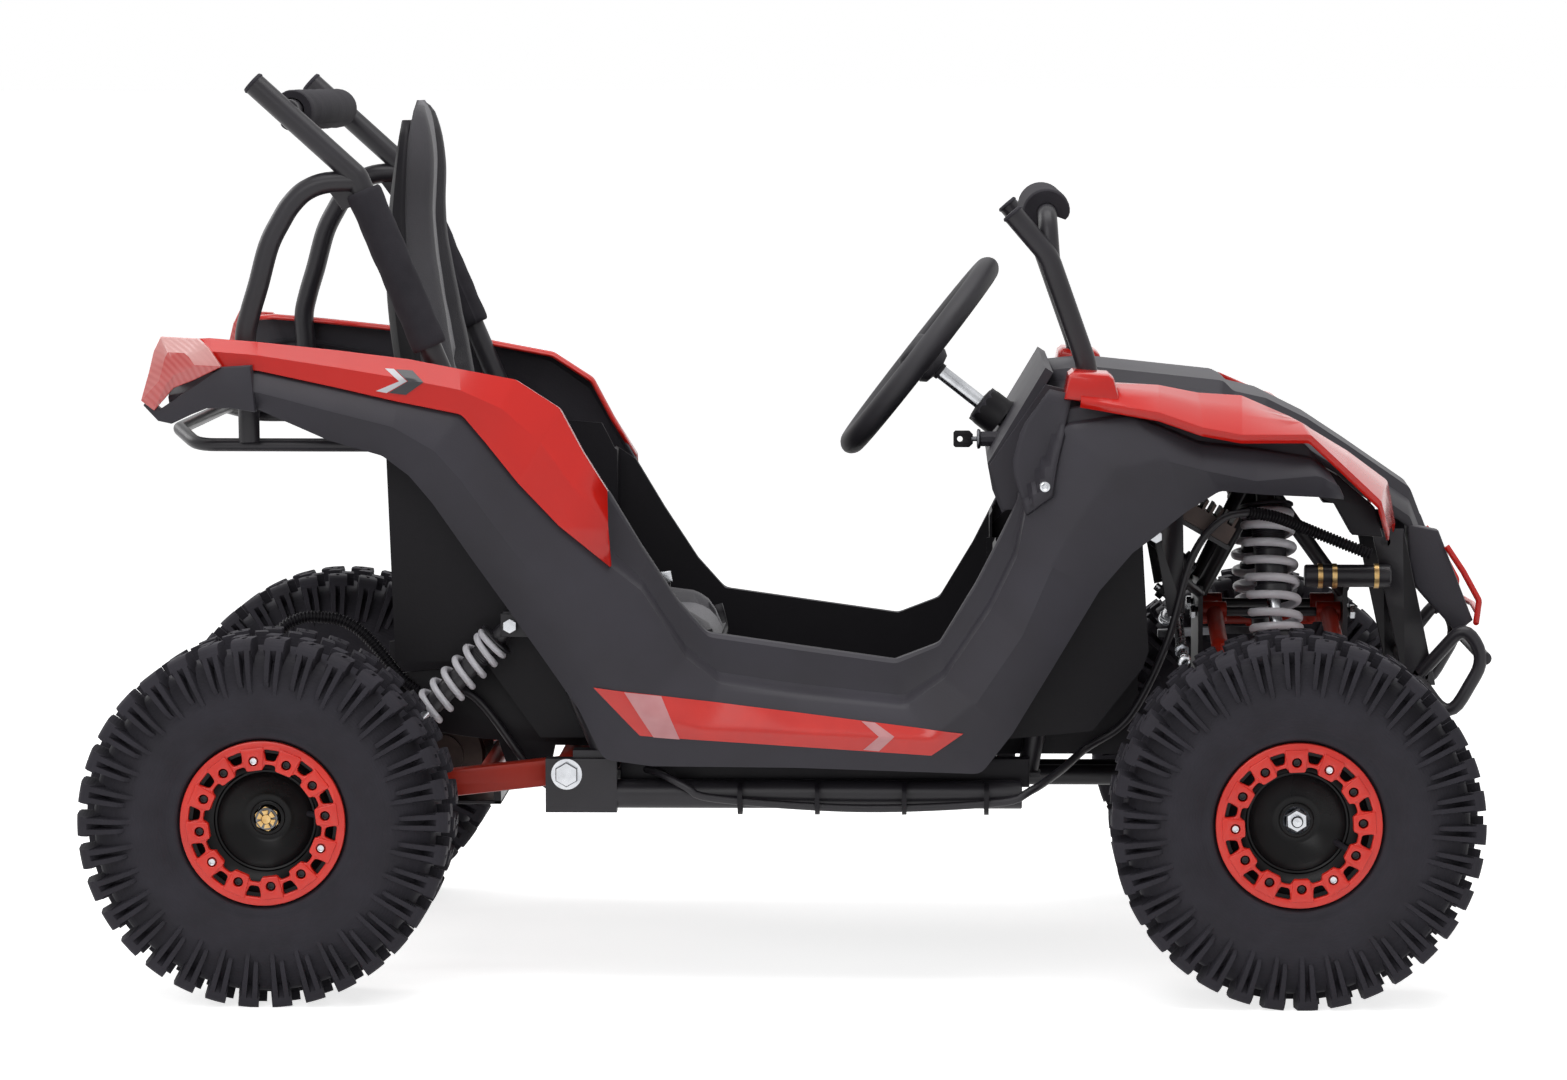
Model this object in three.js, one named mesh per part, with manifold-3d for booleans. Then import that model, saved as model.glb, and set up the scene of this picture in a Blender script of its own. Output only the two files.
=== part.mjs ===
// Off road go kart: a tubular buggy on four knobbly tyres with coil-over shocks all round.
// Millimetres. +X points ahead, +Y to the kart's left, +Z up.
// The origin lies on the ground at the middle of the kart's length and width.
import * as THREE from 'three';
import { mergeVertices } from 'three/addons/utils/BufferGeometryUtils.js';
import Module from 'manifold-3d';

const wasm = await Module();
wasm.setup();

// Driving dimensions of the whole kart
const wheelbase = 1050;
const half_track = 355;
const nose_overhang = 220;
const clearance = 0.3;
const running = 0.5;
const overrun = 2;

const tyre = { radius: 189, width: 145, bead: 78, carcass: 8, foot: 160, shoulder: 172, groove: 11 };
tyre.lugs = 12;
tyre.lug_half = 0.22;
const ring = { radius: 84.5, inner: 58, lobe: 50, thick: 7, lobes: 12, bolt: 4.5, bolt_rise: 2.5 };
const rim = { half: 56, flange: 84, flange_thick: 3.5, wall: 5, web: 5, hub: 21, hub_long: 44, edge: 52, sides: 12 };

const bead_y = rim.half - 2 * rim.flange_thick - clearance;
const half_length = (wheelbase + tyre.radius + nose_overhang) / 2;
const rear_x = tyre.radius - half_length;
const front_x = rear_x + wheelbase;
const axle_z = tyre.radius * Math.cos((2 * Math.PI * tyre.lug_half) / tyre.lugs);

const pivot_top = 238;
const rail = { y: 268, z: 200, r: 15, rear: 215, front: 232, cross: 200 };
const cage = { y: 265, r: 12, foot: 4 };
const body = { panel: 4, lip_y: 252, top_y: 285, edge_y: 300, crease_y: 318, lower_y: 305, height: 680 };
const tub = { y: body.lip_y - body.panel - clearance, wall: 3, floor: 232, step: 332, rear: 433, front: 205, toe: 355, toe_y: 182 };

const swing = { x: -240, z: 222, r: 16, y: 240, wide: 24, tall: 28, box: 24, cross: 10 };
const axle = { r: 12.5, nut: 13, nut_long: 12 };
const drive = { y: 75, motor_r: 48, motor_long: 120, motor_x: -390, plate_z: 161, shaft: 8 };
const teeth = { rear: 36, front: 9, pitch: 10.6, thick: 5, tall: 4 };
const disc = { y: -75, r: 70, thick: 4 };

const arm = { pivot_y: 50, end_y: 222, drop: 34, upper_z: 370, lower_z: 190, leg: 61, pin: 5, eye: 11 };
const upright = { wide: 20, thick: 8, kingpin_y: 256, pin: 4.5, sleeve: 11, low: 165, high: 327 };
const column = { x: 124.5, z: 642.5, angle: 38, r: 8, long: 371 };
const steer = { wheel_deg: 50, road_deg: 18 };
const wheel = { r: 118, grip: 13, hub: 22, spoke: 9 };

// Tools: every piece ends as one closed mesh
const solid = (geometry) => {
  const bare = geometry.clone();
  bare.deleteAttribute('normal');
  bare.deleteAttribute('uv');
  const merged = mergeVertices(bare, 1e-3);
  return new wasm.Manifold(new wasm.Mesh({
    numProp: 3,
    vertProperties: new Float32Array(merged.attributes.position.array),
    triVerts: new Uint32Array(merged.index.array),
  }));
};
const geometryOf = (manifold) => {
  const mesh = manifold.simplify(clearance / 3).getMesh();
  const geometry = new THREE.BufferGeometry();
  geometry.setAttribute('position', new THREE.BufferAttribute(new Float32Array(mesh.vertProperties), 3));
  geometry.setIndex(new THREE.BufferAttribute(new Uint32Array(mesh.triVerts), 1));
  return geometry;
};
const join = (...pieces) => geometryOf(pieces.map(solid).reduce((a, b) => a.add(b)));
const cut = (piece, ...tools) => geometryOf(tools.map(solid).reduce((a, b) => a.subtract(b), solid(piece)));

const flipped = (geometry) => {
  const copy = geometry.index ? geometry.clone() : mergeVertices(geometry.clone(), 1e-3);
  const index = copy.index.array;
  for (let i = 0; i < index.length; i += 3) [index[i], index[i + 1]] = [index[i + 1], index[i]];
  return copy;
};
// The pieces below are drawn for the left side; side -1 gives the right one
const sided = (geometry, side) => {
  if (side > 0) return geometry;
  const bare = geometry.clone();
  bare.deleteAttribute('normal');
  bare.deleteAttribute('uv');
  return flipped(mergeVertices(bare, 1e-3).scale(1, -1, 1));
};
const block = (low, high) => {
  const size = high.map((value, i) => value - low[i]);
  return new THREE.BoxGeometry(...size).translate(...low.map((value, i) => value + size[i] / 2));
};
const rod = (from, to, r, sides = 6, r_end = r) => {
  const a = new THREE.Vector3(...from);
  const b = new THREE.Vector3(...to);
  const axis = b.clone().sub(a);
  const turn = new THREE.Quaternion().setFromUnitVectors(new THREE.Vector3(0, 1, 0), axis.clone().normalize());
  const geometry = new THREE.CylinderGeometry(r_end, r, axis.length(), sides);
  return geometry.applyQuaternion(turn).translate(...a.add(b).multiplyScalar(1 / 2).toArray());
};
const outline = (points) => new THREE.Shape(points.map((p) => new THREE.Vector2(p[0], p[1])));
// An outline in X and Z, extruded along Y between two planes
const slab = (points, y0, y1, holes = []) => {
  const shape = outline(points);
  shape.holes.push(...holes.map((hole) => outline(hole)));
  const geometry = new THREE.ExtrudeGeometry(shape, { depth: y1 - y0, bevelEnabled: false });
  return geometry.rotateX(Math.PI / 2).translate(0, y1, 0);
};
// An outline in X and Y, extruded along Z
const deck = (points, z0, z1) => {
  const shape = outline(points);
  return new THREE.ExtrudeGeometry(shape, { depth: z1 - z0, bevelEnabled: false }).translate(0, 0, z0);
};
class Route extends THREE.Curve {
  constructor(points) {
    super();
    this.points = points.map((p) => new THREE.Vector3(...p));
  }
  getPoint(t) {
    const last = this.points.length - 1;
    const i = Math.min(Math.floor(t * last + 1e-9), last - 1);
    return this.points[i].clone().lerp(this.points[i + 1], t * last - i);
  }
  getPointAt(t) {
    return this.getPoint(t);
  }
  getTangent(t) {
    const last = this.points.length - 1;
    const i = Math.round(t * last);
    const before = this.points[Math.max(i - 1, 0)];
    const after = this.points[Math.min(i + 1, last)];
    const here = this.points[i];
    const a = here.clone().sub(before).normalize();
    const b = after.clone().sub(here).normalize();
    return a.add(b).normalize();
  }
  getTangentAt(t) {
    return this.getTangent(t);
  }
}
const circle = (r, sides) => {
  const points = [];
  for (let i = 0; i < sides; i += 1) {
    const turn = (2 * Math.PI * (i + 1 / 2)) / sides;
    points.push([r * Math.cos(turn), r * Math.sin(turn)]);
  }
  return points;
};
const sweep = (points, section) => new THREE.ExtrudeGeometry(outline(section), {
  steps: points.length - 1, extrudePath: new Route(points), bevelEnabled: false,
});
// A bent tube: each inner corner of the route becomes a short bend
const tube = (corners, r, bend = 3 * r, sides = 8) => {
  const points = [corners[0]];
  for (let i = 1; i < corners.length - 1; i += 1) {
    const here = new THREE.Vector3(...corners[i]);
    for (const next of [corners[i - 1], corners[i + 1]]) {
      const way = new THREE.Vector3(...next).sub(here);
      const step = Math.min(bend, way.length() / 3);
      points.push(here.clone().add(way.setLength(step)).toArray());
    }
  }
  points.push(corners[corners.length - 1]);
  return sweep(points, circle(r, sides));
};
// A moulded skin between rails: each rail has as many stations as the others
const skin = (rails, thick, draw = [0, -1, 0]) => {
  const rows = rails.length;
  const stations = rails[0].length;
  const place = (r, s, inner) => rails[r][s].map((value, i) => value + inner * thick * draw[i]);
  const positions = [];
  const index = [];
  for (const inner of [0, 1]) {
    for (let r = 0; r < rows; r += 1) {
      for (let s = 0; s < stations; s += 1) positions.push(...place(r, s, inner));
    }
  }
  const at = (r, s, inner) => inner * rows * stations + r * stations + s;
  const quad = (a, b, c, d) => index.push(a, b, c, a, c, d);
  for (let r = 0; r < rows - 1; r += 1) {
    for (let s = 0; s < stations - 1; s += 1) {
      quad(at(r, s, 0), at(r, s + 1, 0), at(r + 1, s + 1, 0), at(r + 1, s, 0));
      quad(at(r, s, 1), at(r + 1, s, 1), at(r + 1, s + 1, 1), at(r, s + 1, 1));
    }
  }
  for (let s = 0; s < stations - 1; s += 1) {
    quad(at(0, s, 0), at(0, s, 1), at(0, s + 1, 1), at(0, s + 1, 0));
    quad(at(rows - 1, s, 0), at(rows - 1, s + 1, 0), at(rows - 1, s + 1, 1), at(rows - 1, s, 1));
  }
  for (let r = 0; r < rows - 1; r += 1) {
    quad(at(r, 0, 0), at(r + 1, 0, 0), at(r + 1, 0, 1), at(r, 0, 1));
    quad(at(r, stations - 1, 0), at(r, stations - 1, 1), at(r + 1, stations - 1, 1), at(r + 1, stations - 1, 0));
  }
  const geometry = new THREE.BufferGeometry();
  geometry.setAttribute('position', new THREE.Float32BufferAttribute(positions, 3));
  geometry.setIndex(index);
  return geometry;
};
// A lofted body through closed rings with the same number of points; caps lists the triangles of its ends
const fan = (count) => Array.from({ length: count - 2 }, (_, i) => [0, i + 1, i + 2]);
const loft = (rings, caps = fan(rings[0].length)) => {
  const count = rings[0].length;
  const positions = rings.flat(2);
  const index = [];
  for (let k = 0; k < rings.length - 1; k += 1) {
    for (let i = 0; i < count; i += 1) {
      const a = k * count + i;
      const b = k * count + ((i + 1) % count);
      index.push(a, b, b + count, a, b + count, a + count);
    }
  }
  const end = (rings.length - 1) * count;
  for (const [a, b, c] of caps) index.push(a, c, b, end + a, end + b, end + c);
  const geometry = new THREE.BufferGeometry();
  geometry.setAttribute('position', new THREE.Float32BufferAttribute(positions, 3));
  geometry.setIndex(index);
  return geometry;
};
const lathe = (points, sides) => {
  const profile = [...points, points[0]].map((p) => new THREE.Vector2(p[0], p[1]));
  return new THREE.LatheGeometry(profile, sides);
};

const kart = new THREE.Group();
kart.name = 'off_road_go_kart';
const finish = (color, roughness, metalness = 0) => ({ color, roughness, metalness });
const looks = {
  tube: finish(0x3a383e, 0.45, 0.6),
  charcoal: finish(0x3e3c42, 0.7),
  black: finish(0x17141a, 0.75),
  red: finish(0xe2281e, 0.2),
  ring: finish(0xf0321e, 0.4),
  rubber: finish(0x38363c, 0.85),
  white: finish(0xd8d6dc, 0.35, 0.2),
  arm: finish(0xb02a1a, 0.35, 0.4),
  steel: finish(0xb8bcc2, 0.3, 0.9),
  foam: finish(0x1b1a1d, 0.95),
  vinyl: finish(0x47454b, 0.6),
  copper: finish(0xc9a66b, 0.4, 0.8),
};
const add = (name, geometry, look, parent = kart) => {
  geometry.computeVertexNormals();
  const mesh = new THREE.Mesh(geometry, new THREE.MeshStandardMaterial({ ...look, flatShading: true }));
  mesh.name = name;
  parent.add(mesh);
  return mesh;
};
const sides = [['right', -1], ['left', 1]];

// Tyre: staggered shoulder lugs stand on a carcass that is open at the bead
const makeTyre = () => {
  const half = tyre.width / 2;
  const crown = half / 2;
  const deep = tyre.radius - tyre.groove;
  const rows = [
    [bead_y, tyre.bead, tyre.bead],
    [half, tyre.shoulder, tyre.foot],
    [crown, tyre.radius, deep],
  ];
  const column_shares = [-tyre.lug_half, tyre.lug_half, 1 / 2 - tyre.lug_half, 1 / 2 + tyre.lug_half];
  const columns = tyre.lugs * column_shares.length;
  const rings = [];
  for (let j = 0; j < columns; j += 1) {
    const k = j % column_shares.length;
    const turn = ((Math.floor(j / column_shares.length) + column_shares[k]) / tyre.lugs) * 2 * Math.PI;
    const place = ([y, high, low], side) => {
      const r = (side > 0) === (k < 2) ? high : low;
      return [r * Math.sin(turn), side * y, -r * Math.cos(turn)];
    };
    rings.push([...rows.map((row) => place(row, 1)), ...[...rows].reverse().map((row) => place(row, -1))]);
  }
  const count = rings[0].length;
  const positions = rings.flat(2);
  const index = [];
  for (let j = 0; j < columns; j += 1) {
    for (let i = 0; i < count; i += 1) {
      const a = j * count + i;
      const b = j * count + ((i + 1) % count);
      const c = ((j + 1) % columns) * count + ((i + 1) % count);
      const d = ((j + 1) % columns) * count + i;
      index.push(a, c, b, a, d, c);
    }
  }
  const outer = new THREE.BufferGeometry();
  outer.setAttribute('position', new THREE.Float32BufferAttribute(positions, 3));
  outer.setIndex(index);
  const inside = half - tyre.carcass * 2;
  const cavity = lathe([
    [tyre.bead - overrun, bead_y - tyre.carcass],
    [deep - tyre.carcass * 2, inside],
    [deep - tyre.carcass * 2, -inside],
    [tyre.bead - overrun, tyre.carcass - bead_y],
  ].reverse(), tyre.lugs);
  return cut(outer, cavity);
};
// Rim with the lobed ring bolted on its outer face; y grows outward from the wheel's middle
const makeRim = (bore) => {
  const seat = tyre.bead - clearance * 4;
  const inside = seat - rim.wall;
  const face = rim.half + ring.thick;
  const barrel = lathe([
    [rim.flange, rim.half],
    [seat, rim.half - rim.flange_thick * 2],
    [seat, -rim.half + rim.flange_thick * 2],
    [rim.flange, -rim.half],
    [inside, -rim.half],
    [inside, rim.half / 4],
    [rim.hub, -rim.hub_long + rim.half / 4],
    [bore, -rim.hub_long + rim.half / 4],
    [bore, rim.half / 4],
    [rim.hub, rim.half / 4],
    [rim.edge, rim.half / 2 + rim.web],
    [inside, rim.half],
  ].reverse(), rim.sides);
  const plate = new THREE.Shape(circle(ring.radius, 2 * ring.lobes).map((p) => new THREE.Vector2(...p)));
  const inner = [];
  const lobe_shares = [[-0.22, 1], [0.22, 1], [0.5, 0]];
  for (let i = 0; i < ring.lobes; i += 1) {
    for (const [turn_share, lobe_share] of lobe_shares) {
      const turn = (2 * Math.PI * (i + turn_share)) / ring.lobes;
      const r = ring.inner + (ring.lobe - ring.inner) * lobe_share;
      inner.push(new THREE.Vector2(r * Math.cos(turn), r * Math.sin(turn)));
    }
    const window_shares = [[0.37, 0.3], [0.63, 0.3], [0.6, 0.72], [0.4, 0.72]];
    plate.holes.push(new THREE.Path(window_shares.map(([turn_share, depth_share]) => {
      const turn = (2 * Math.PI * (i + turn_share)) / ring.lobes;
      const r = ring.inner + (ring.radius - ring.inner) * depth_share;
      return new THREE.Vector2(r * Math.cos(turn), r * Math.sin(turn));
    })));
  }
  plate.holes.push(new THREE.Path(inner));
  const flat = new THREE.ExtrudeGeometry(plate, { depth: ring.thick + rim.flange_thick / 2, bevelEnabled: false });
  const facing = flat.rotateX(-Math.PI / 2).translate(0, rim.half - rim.flange_thick / 2, 0);
  const bolts = [];
  for (let i = 0; i < ring.lobes; i += 4) {
    const turn = (2 * Math.PI * i) / ring.lobes;
    const r = (ring.lobe + ring.radius) / 2 - ring.bolt / 2;
    const place = (y) => [r * Math.cos(turn), y, r * Math.sin(turn)];
    bolts.push(rod(place(face - ring.thick / 2), place(face + ring.bolt_rise), ring.bolt, 6));
  }
  return join(barrel, facing, ...bolts);
};

const tyre_form = makeTyre();
const rim_front = makeRim(arm.pin + 3 * clearance + 3);
const rim_rear = makeRim(axle.r + 4 * clearance);
for (const [name, side] of sides) {
  for (const [end, x, form] of [['front', front_x, rim_front], ['rear', rear_x, rim_rear]]) {
    const wheel_group = new THREE.Group();
    wheel_group.position.set(x, side * half_track, axle_z);
    kart.add(wheel_group);
    add(`tyre_${end}_${name}`, sided(tyre_form, side), looks.rubber, wheel_group);
    add(`rim_${end}_${name}`, sided(form, side), looks.ring, wheel_group);
  }
}

// Springs and shocks stand along +Z from the lower eye, then lean into place
const shocks = {
  rear: { low: [-437, 240, 234], high: [-300, 240, 374], eye: 9, wide: 20, tube: 11, rod: 6, coil: 20, wire: 3.5,
    turns: 8, low_seat: 28, high_seat: 24, bore: 5.6, axis: [0, 1, 0] },
  front: { low: [515, 190, 195], high: [489, 115, 520], eye: 10, wide: 22, tube: 17, rod: 7, coil: 29, wire: 4.5,
    turns: 8, low_seat: 165, high_seat: 34, bore: 5.6, axis: [1, 0, 0] },
};
const spring = (s, low, high) => {
  const radius = s.coil - s.wire;
  const wire_sides = 5;
  const coil_steps = 8;
  const steps = Math.round(s.turns * coil_steps);
  const rise = high - low - 2 * s.wire - 2 * clearance;
  const rings = [];
  const lead = Math.atan2(rise / s.turns, 2 * Math.PI * radius);
  for (let j = 0; j <= steps; j += 1) {
    const turn = (2 * Math.PI * j) / coil_steps;
    const centre = [radius * Math.cos(turn), radius * Math.sin(turn), low + clearance + s.wire + (rise * j) / steps];
    const ring_points = [];
    for (let i = 0; i < wire_sides; i += 1) {
      const around = (2 * Math.PI * i) / wire_sides;
      const out = s.wire * Math.cos(around);
      const up = s.wire * Math.sin(around);
      ring_points.push([
        centre[0] + out * Math.cos(turn) + up * Math.sin(turn) * Math.sin(lead),
        centre[1] + out * Math.sin(turn) - up * Math.cos(turn) * Math.sin(lead),
        centre[2] + up * Math.cos(lead),
      ]);
    }
    rings.push(ring_points);
  }
  const pitch = rise / s.turns;
  console.log(`spring gap to itself ${(pitch * Math.cos(lead) - 2 * s.wire).toFixed(2)} mm`);
  return flipped(loft(rings));
};
const shockFrame = (s) => {
  const low = new THREE.Vector3(...s.low);
  const z = new THREE.Vector3(...s.high).sub(low).normalize();
  const x = new THREE.Vector3(...s.axis).cross(z).normalize();
  const y = z.clone().cross(x);
  return new THREE.Matrix4().makeBasis(x, y, z).setPosition(low);
};
const lean = (s, geometry) => geometry.applyMatrix4(shockFrame(s));
const shockPoint = (s, point) => new THREE.Vector3(...point).applyMatrix4(shockFrame(s)).toArray();
const shockSpan = (s) => new THREE.Vector3(...s.high).distanceTo(new THREE.Vector3(...s.low));
for (const [end, s] of Object.entries(shocks)) {
  const span = shockSpan(s);
  const low_seat = s.low_seat;
  const high_seat = span - s.high_seat;
  const seat_thick = s.wire;
  const eye = (z) => rod([0, -s.wide / 2, z], [0, s.wide / 2, z], s.eye, 8);
  const hole = (z) => rod([0, -s.wide, z], [0, s.wide, z], s.bore, 8);
  const rod_top = high_seat - span / 5;
  const lower = cut(join(
    eye(0),
    rod([0, 0, s.eye / 2], [0, 0, low_seat], s.rod * 3 / 2, 6),
    rod([0, 0, low_seat - seat_thick], [0, 0, low_seat], s.coil, 10),
    rod([0, 0, low_seat], [0, 0, rod_top], s.rod, 6),
  ), hole(0));
  const tube_low = low_seat + (high_seat - low_seat) / 3;
  const barrel = cut(
    rod([0, 0, tube_low], [0, 0, high_seat], s.tube, 8),
    rod([0, 0, tube_low - overrun], [0, 0, high_seat - s.tube], s.rod + 4 * clearance, 6),
  );
  const upper = cut(join(
    barrel,
    rod([0, 0, high_seat], [0, 0, high_seat + seat_thick], s.coil, 10),
    rod([0, 0, high_seat], [0, 0, span - s.eye / 2], s.eye, 6),
    eye(span),
  ), hole(span));
  const coil = spring(s, low_seat, high_seat);
  for (const [name, side] of sides) {
    const placed = (geometry) => sided(lean(s, geometry.clone()), side);
    add(`${end}_shock_body_${name}`, placed(upper), looks.black);
    add(`${end}_shock_rod_${name}`, placed(lower), looks.steel);
    add(`${end}_spring_${name}`, placed(coil), looks.white);
  }
}

// Floor and nose frame
const both = (make) => [make(1), make(-1)];
const arm_x = (shocks.front.high[0] + shocks.front.low[0]) / 2;
const plate_gap = running;
const leg_half = 13;
const bulkhead = { thick: 5, half: 82, low: 172, high: 400 };
const bulk_rear = arm_x - arm.leg - leg_half - plate_gap;
const bulk_front = arm_x + arm.leg + leg_half + plate_gap;
const bumper = { r: 7, y: 150, low: 269, high: 364, rear: 690 };
const bumper_front = half_length - bumper.r;
const nose = { y: 24, r: 11, z: 190, strut_y: 130, strut: 4 };
const makeMainFrame = () => {
  const rails = both((s) => rod([-rail.rear, s * rail.y, rail.z], [rail.front, s * rail.y, rail.z], rail.r));
  const cross = [-rail.cross, 0, rail.front - rail.r].map((x) => rod([x, -rail.y, rail.z], [x, rail.y, rail.z], cage.r));
  const pivot_blocks = both((s) => {
    const inner = swing.y + swing.box - clearance * 2;
    return block([swing.x - 22, Math.min(s * inner, s * (rail.y + rail.r)), rail.z - rail.r - clearance * 10],
      [-rail.cross + cage.r, Math.max(s * inner, s * (rail.y + rail.r)), pivot_top]);
  });
  const pivot_bolts = both((s) => rod([swing.x, s * (swing.y - swing.box), swing.z],
    [swing.x, s * (rail.y + rail.r + axle.nut / 2), swing.z], axle.nut / 2));
  const pivot_heads = both((s) => rod([swing.x, s * (rail.y + rail.r - 1), swing.z],
    [swing.x, s * (rail.y + rail.r + axle.nut / 2), swing.z], axle.nut, 6));
  const spine = both((s) => rod([rail.front - rail.r, s * nose.y, nose.z], [bumper.rear - 60, s * nose.y, nose.z], nose.r));
  const plates = [[bulk_rear - bulkhead.thick, bulk_rear], [bulk_front, bulk_front + bulkhead.thick]].map(([a, b]) =>
    block([a, -bulkhead.half, bulkhead.low], [b, bulkhead.half, bulkhead.high]));
  const pins = [arm.upper_z, arm.lower_z].flatMap((z) => both((s) =>
    rod([bulk_rear - 2 * bulkhead.thick, s * arm.pivot_y, z],
      [bulk_front + 2 * bulkhead.thick, s * arm.pivot_y, z], arm.pin)));
  const f = shocks.front;
  const span = shockSpan(f);
  const ear = f.wide / 2 + running;
  const ear_out = ear + bulkhead.thick;
  const cheek = f.eye + 2;
  const back = cheek + bulkhead.thick;
  const mounts = both((s) => sided(lean(f, join(
    block([-cheek, ear, span - cheek], [back, ear_out, span + cheek]),
    block([-cheek, -ear_out, span - cheek], [back, -ear, span + cheek]),
    block([cheek, -ear_out, span - cheek], [back, ear_out, span + cheek]),
    rod([0, -ear_out - 3, span], [0, ear_out + 3, span], 5),
  )), s));
  const tower_top = shockPoint(f, [back, 0, span]);
  const towers = both((s) => join(...[bulk_rear - 2, bulk_front + 2].map((x) =>
    rod([x, s * (bulkhead.half - 22), bulkhead.high - 8], [tower_top[0], s * tower_top[1], tower_top[2]], 8))));
  const tower_bar = rod([tower_top[0], -tower_top[1], tower_top[2]], tower_top, 8);
  const struts = both((s) => slab([[602, 466], [636, 466], [671, 300], [638, 300]],
    Math.min(s * nose.strut_y, s * (nose.strut_y + nose.strut)), Math.max(s * nose.strut_y, s * (nose.strut_y + nose.strut))));
  const low_bar = rod([655, -nose.strut_y - 4, 310], [655, nose.strut_y + 4, 310], 9);
  const high_bar = rod([617, -nose.strut_y - 4, 452], [617, nose.strut_y + 4, 452], 6);
  const risers = both((s) => tube([[bumper.rear - 70, s * nose.y, nose.z], [640, s * nose.y, nose.z], [655, s * nose.y, 310]], 9, 18, 6));
  const hoops = both((s) => tube([[655, s * (nose.strut_y + 2), 312], [700, s * bumper.y, 366],
    [bumper_front, s * bumper.y, 330], [684, s * bumper.y, 264], [652, s * (nose.strut_y + 2), 308]],
  bumper.r, 2 * bumper.r, 6));
  const bars = [rod([bumper_front, -bumper.y, 330], [bumper_front, bumper.y, 330], bumper.r)];
  const shelf = block([-32, -30, -17], [34, 76, -12 - clearance]).rotateY(Math.PI / 6).translate(428, -150, 478);
  const pads = [0, rail.front - rail.r].flatMap((x) => both((s) =>
    block([x - 10, s * 110 - 20, rail.z], [x + 10, s * 110 + 20, tub.floor - clearance])));
  const stays = both((s) => join(
    slab([[366, 488], [380, 490], [402, 380], [388, 378]], Math.min(s * 186, s * 190), Math.max(s * 186, s * 190)),
    rod([384, s * 188, 430], [425, s * 74, 396 - 5], 5),
  ));
  const horn = rod([531, -145, 417], [622, -145, 417], 12, 8);
  return join(...rails, ...cross, ...pivot_blocks, ...pivot_bolts, ...pivot_heads, ...spine, ...plates, ...pins,
    ...towers, tower_bar, ...mounts, ...struts, low_bar, high_bar, ...risers, ...hoops, ...bars,
    shelf, ...pads, ...stays, horn);
};
add('main_frame', makeMainFrame(), looks.tube);

// Rear cage: a leg each side, a brace, a top tube, a cross bar and the loop under the fender
const leg_foot = [-200, 0, pivot_top + clearance];
const kink = [-455, 0, 840];
const cage_top = [-561, 0, 936];
const bar = { x: -527, z: 908 };
const at_y = (p, y) => [p[0], y, p[2]];
const leg_at = (z) => leg_foot[0] + ((kink[0] - leg_foot[0]) * (z - leg_foot[2])) / (kink[2] - leg_foot[2]);
const makeRearFrame = () => {
  const halves = both((s) => {
    const y = s * cage.y;
    const foot_top = leg_foot[2] + cage.foot;
    const shock = shocks.rear.high;
    const near = shock[1] - shocks.rear.wide / 2 - running;
    const far = shock[1] + shocks.rear.wide / 2 + running;
    const ear = (a, b) => slab([[shock[0] - 10, shock[2] - 12], [shock[0] + 10, shock[2] - 12],
      [leg_at(shock[2] - 12), shock[2] - 12], [leg_at(shock[2] + 12), shock[2] + 12],
      [shock[0] - 10, shock[2] + 12]], Math.min(s * a, s * b), Math.max(s * a, s * b));
    return join(
      tube([[leg_at(foot_top + 4), y, foot_top + 4], at_y(kink, y), at_y(cage_top, y)], cage.r, 14),
      block([leg_foot[0] - 34, y - cage.r, leg_foot[2]], [leg_foot[0] + 10, y + cage.r, foot_top + 4]),
      tube([[-450, y, 831], [-505, y, 842], [-545, y, 800], [-569, y, 674], [-569, y, 566]], 10, 25, 6),
      tube([[leg_at(566), y, 566], [-440, s * 256, 562], [-625, s * 250, 562], [-652, s * 190, 575], [-652, -s * overrun, 575]], 7, 24, 6),
      ear(near - 5, near - running),
      ear(far + running, far + 5),
      rod([shock[0], s * (near - 4), shock[2]], [shock[0], s * (far + 8), shock[2]], 4.2, 8),
      block([leg_at(shock[2] - 8) - 4, Math.min(s * (near - 5), s * (far + 5)), shock[2] - 10],
        [leg_at(shock[2] - 8) + 8, Math.max(s * (near - 5), s * (far + 5)), shock[2] + 10]),
    );
  });
  return join(...halves, rod([bar.x, -cage.y, bar.z], [bar.x, cage.y, bar.z], cage.r, 8));
};
add('rear_frame', makeRearFrame(), looks.tube);

const hoop = { y: 215, r: 11, cross_z: 800 };
const makeFrontHoop = () => {
  const legs = both((s) => tube([[238, s * hoop.y, rail.z + cage.r + 4], [286, s * hoop.y, 470], [300, s * hoop.y, 641],
    [259, s * hoop.y, 757], [222, s * hoop.y, 800]], hoop.r, 30, 6));
  const feet = both((s) => block([218, s * hoop.y - 16, rail.z + cage.r + clearance], [252, s * hoop.y + 16, rail.z + cage.r + 6]));
  const arch = tube([[262, -hoop.y + 6, 745], [258, -hoop.y + 10, hoop.cross_z], [258, hoop.y - 10, hoop.cross_z],
    [262, hoop.y - 6, 745]], 10, 22, 6);
  const tabs = both((s) => sided(block([286, hoop.y, 592], [297, hoop.y + hoop.r + clearance, 606]), s));
  return join(...legs, ...feet, arch, ...tabs);
};
add('front_hoop', makeFrontHoop(), looks.tube);

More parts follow.
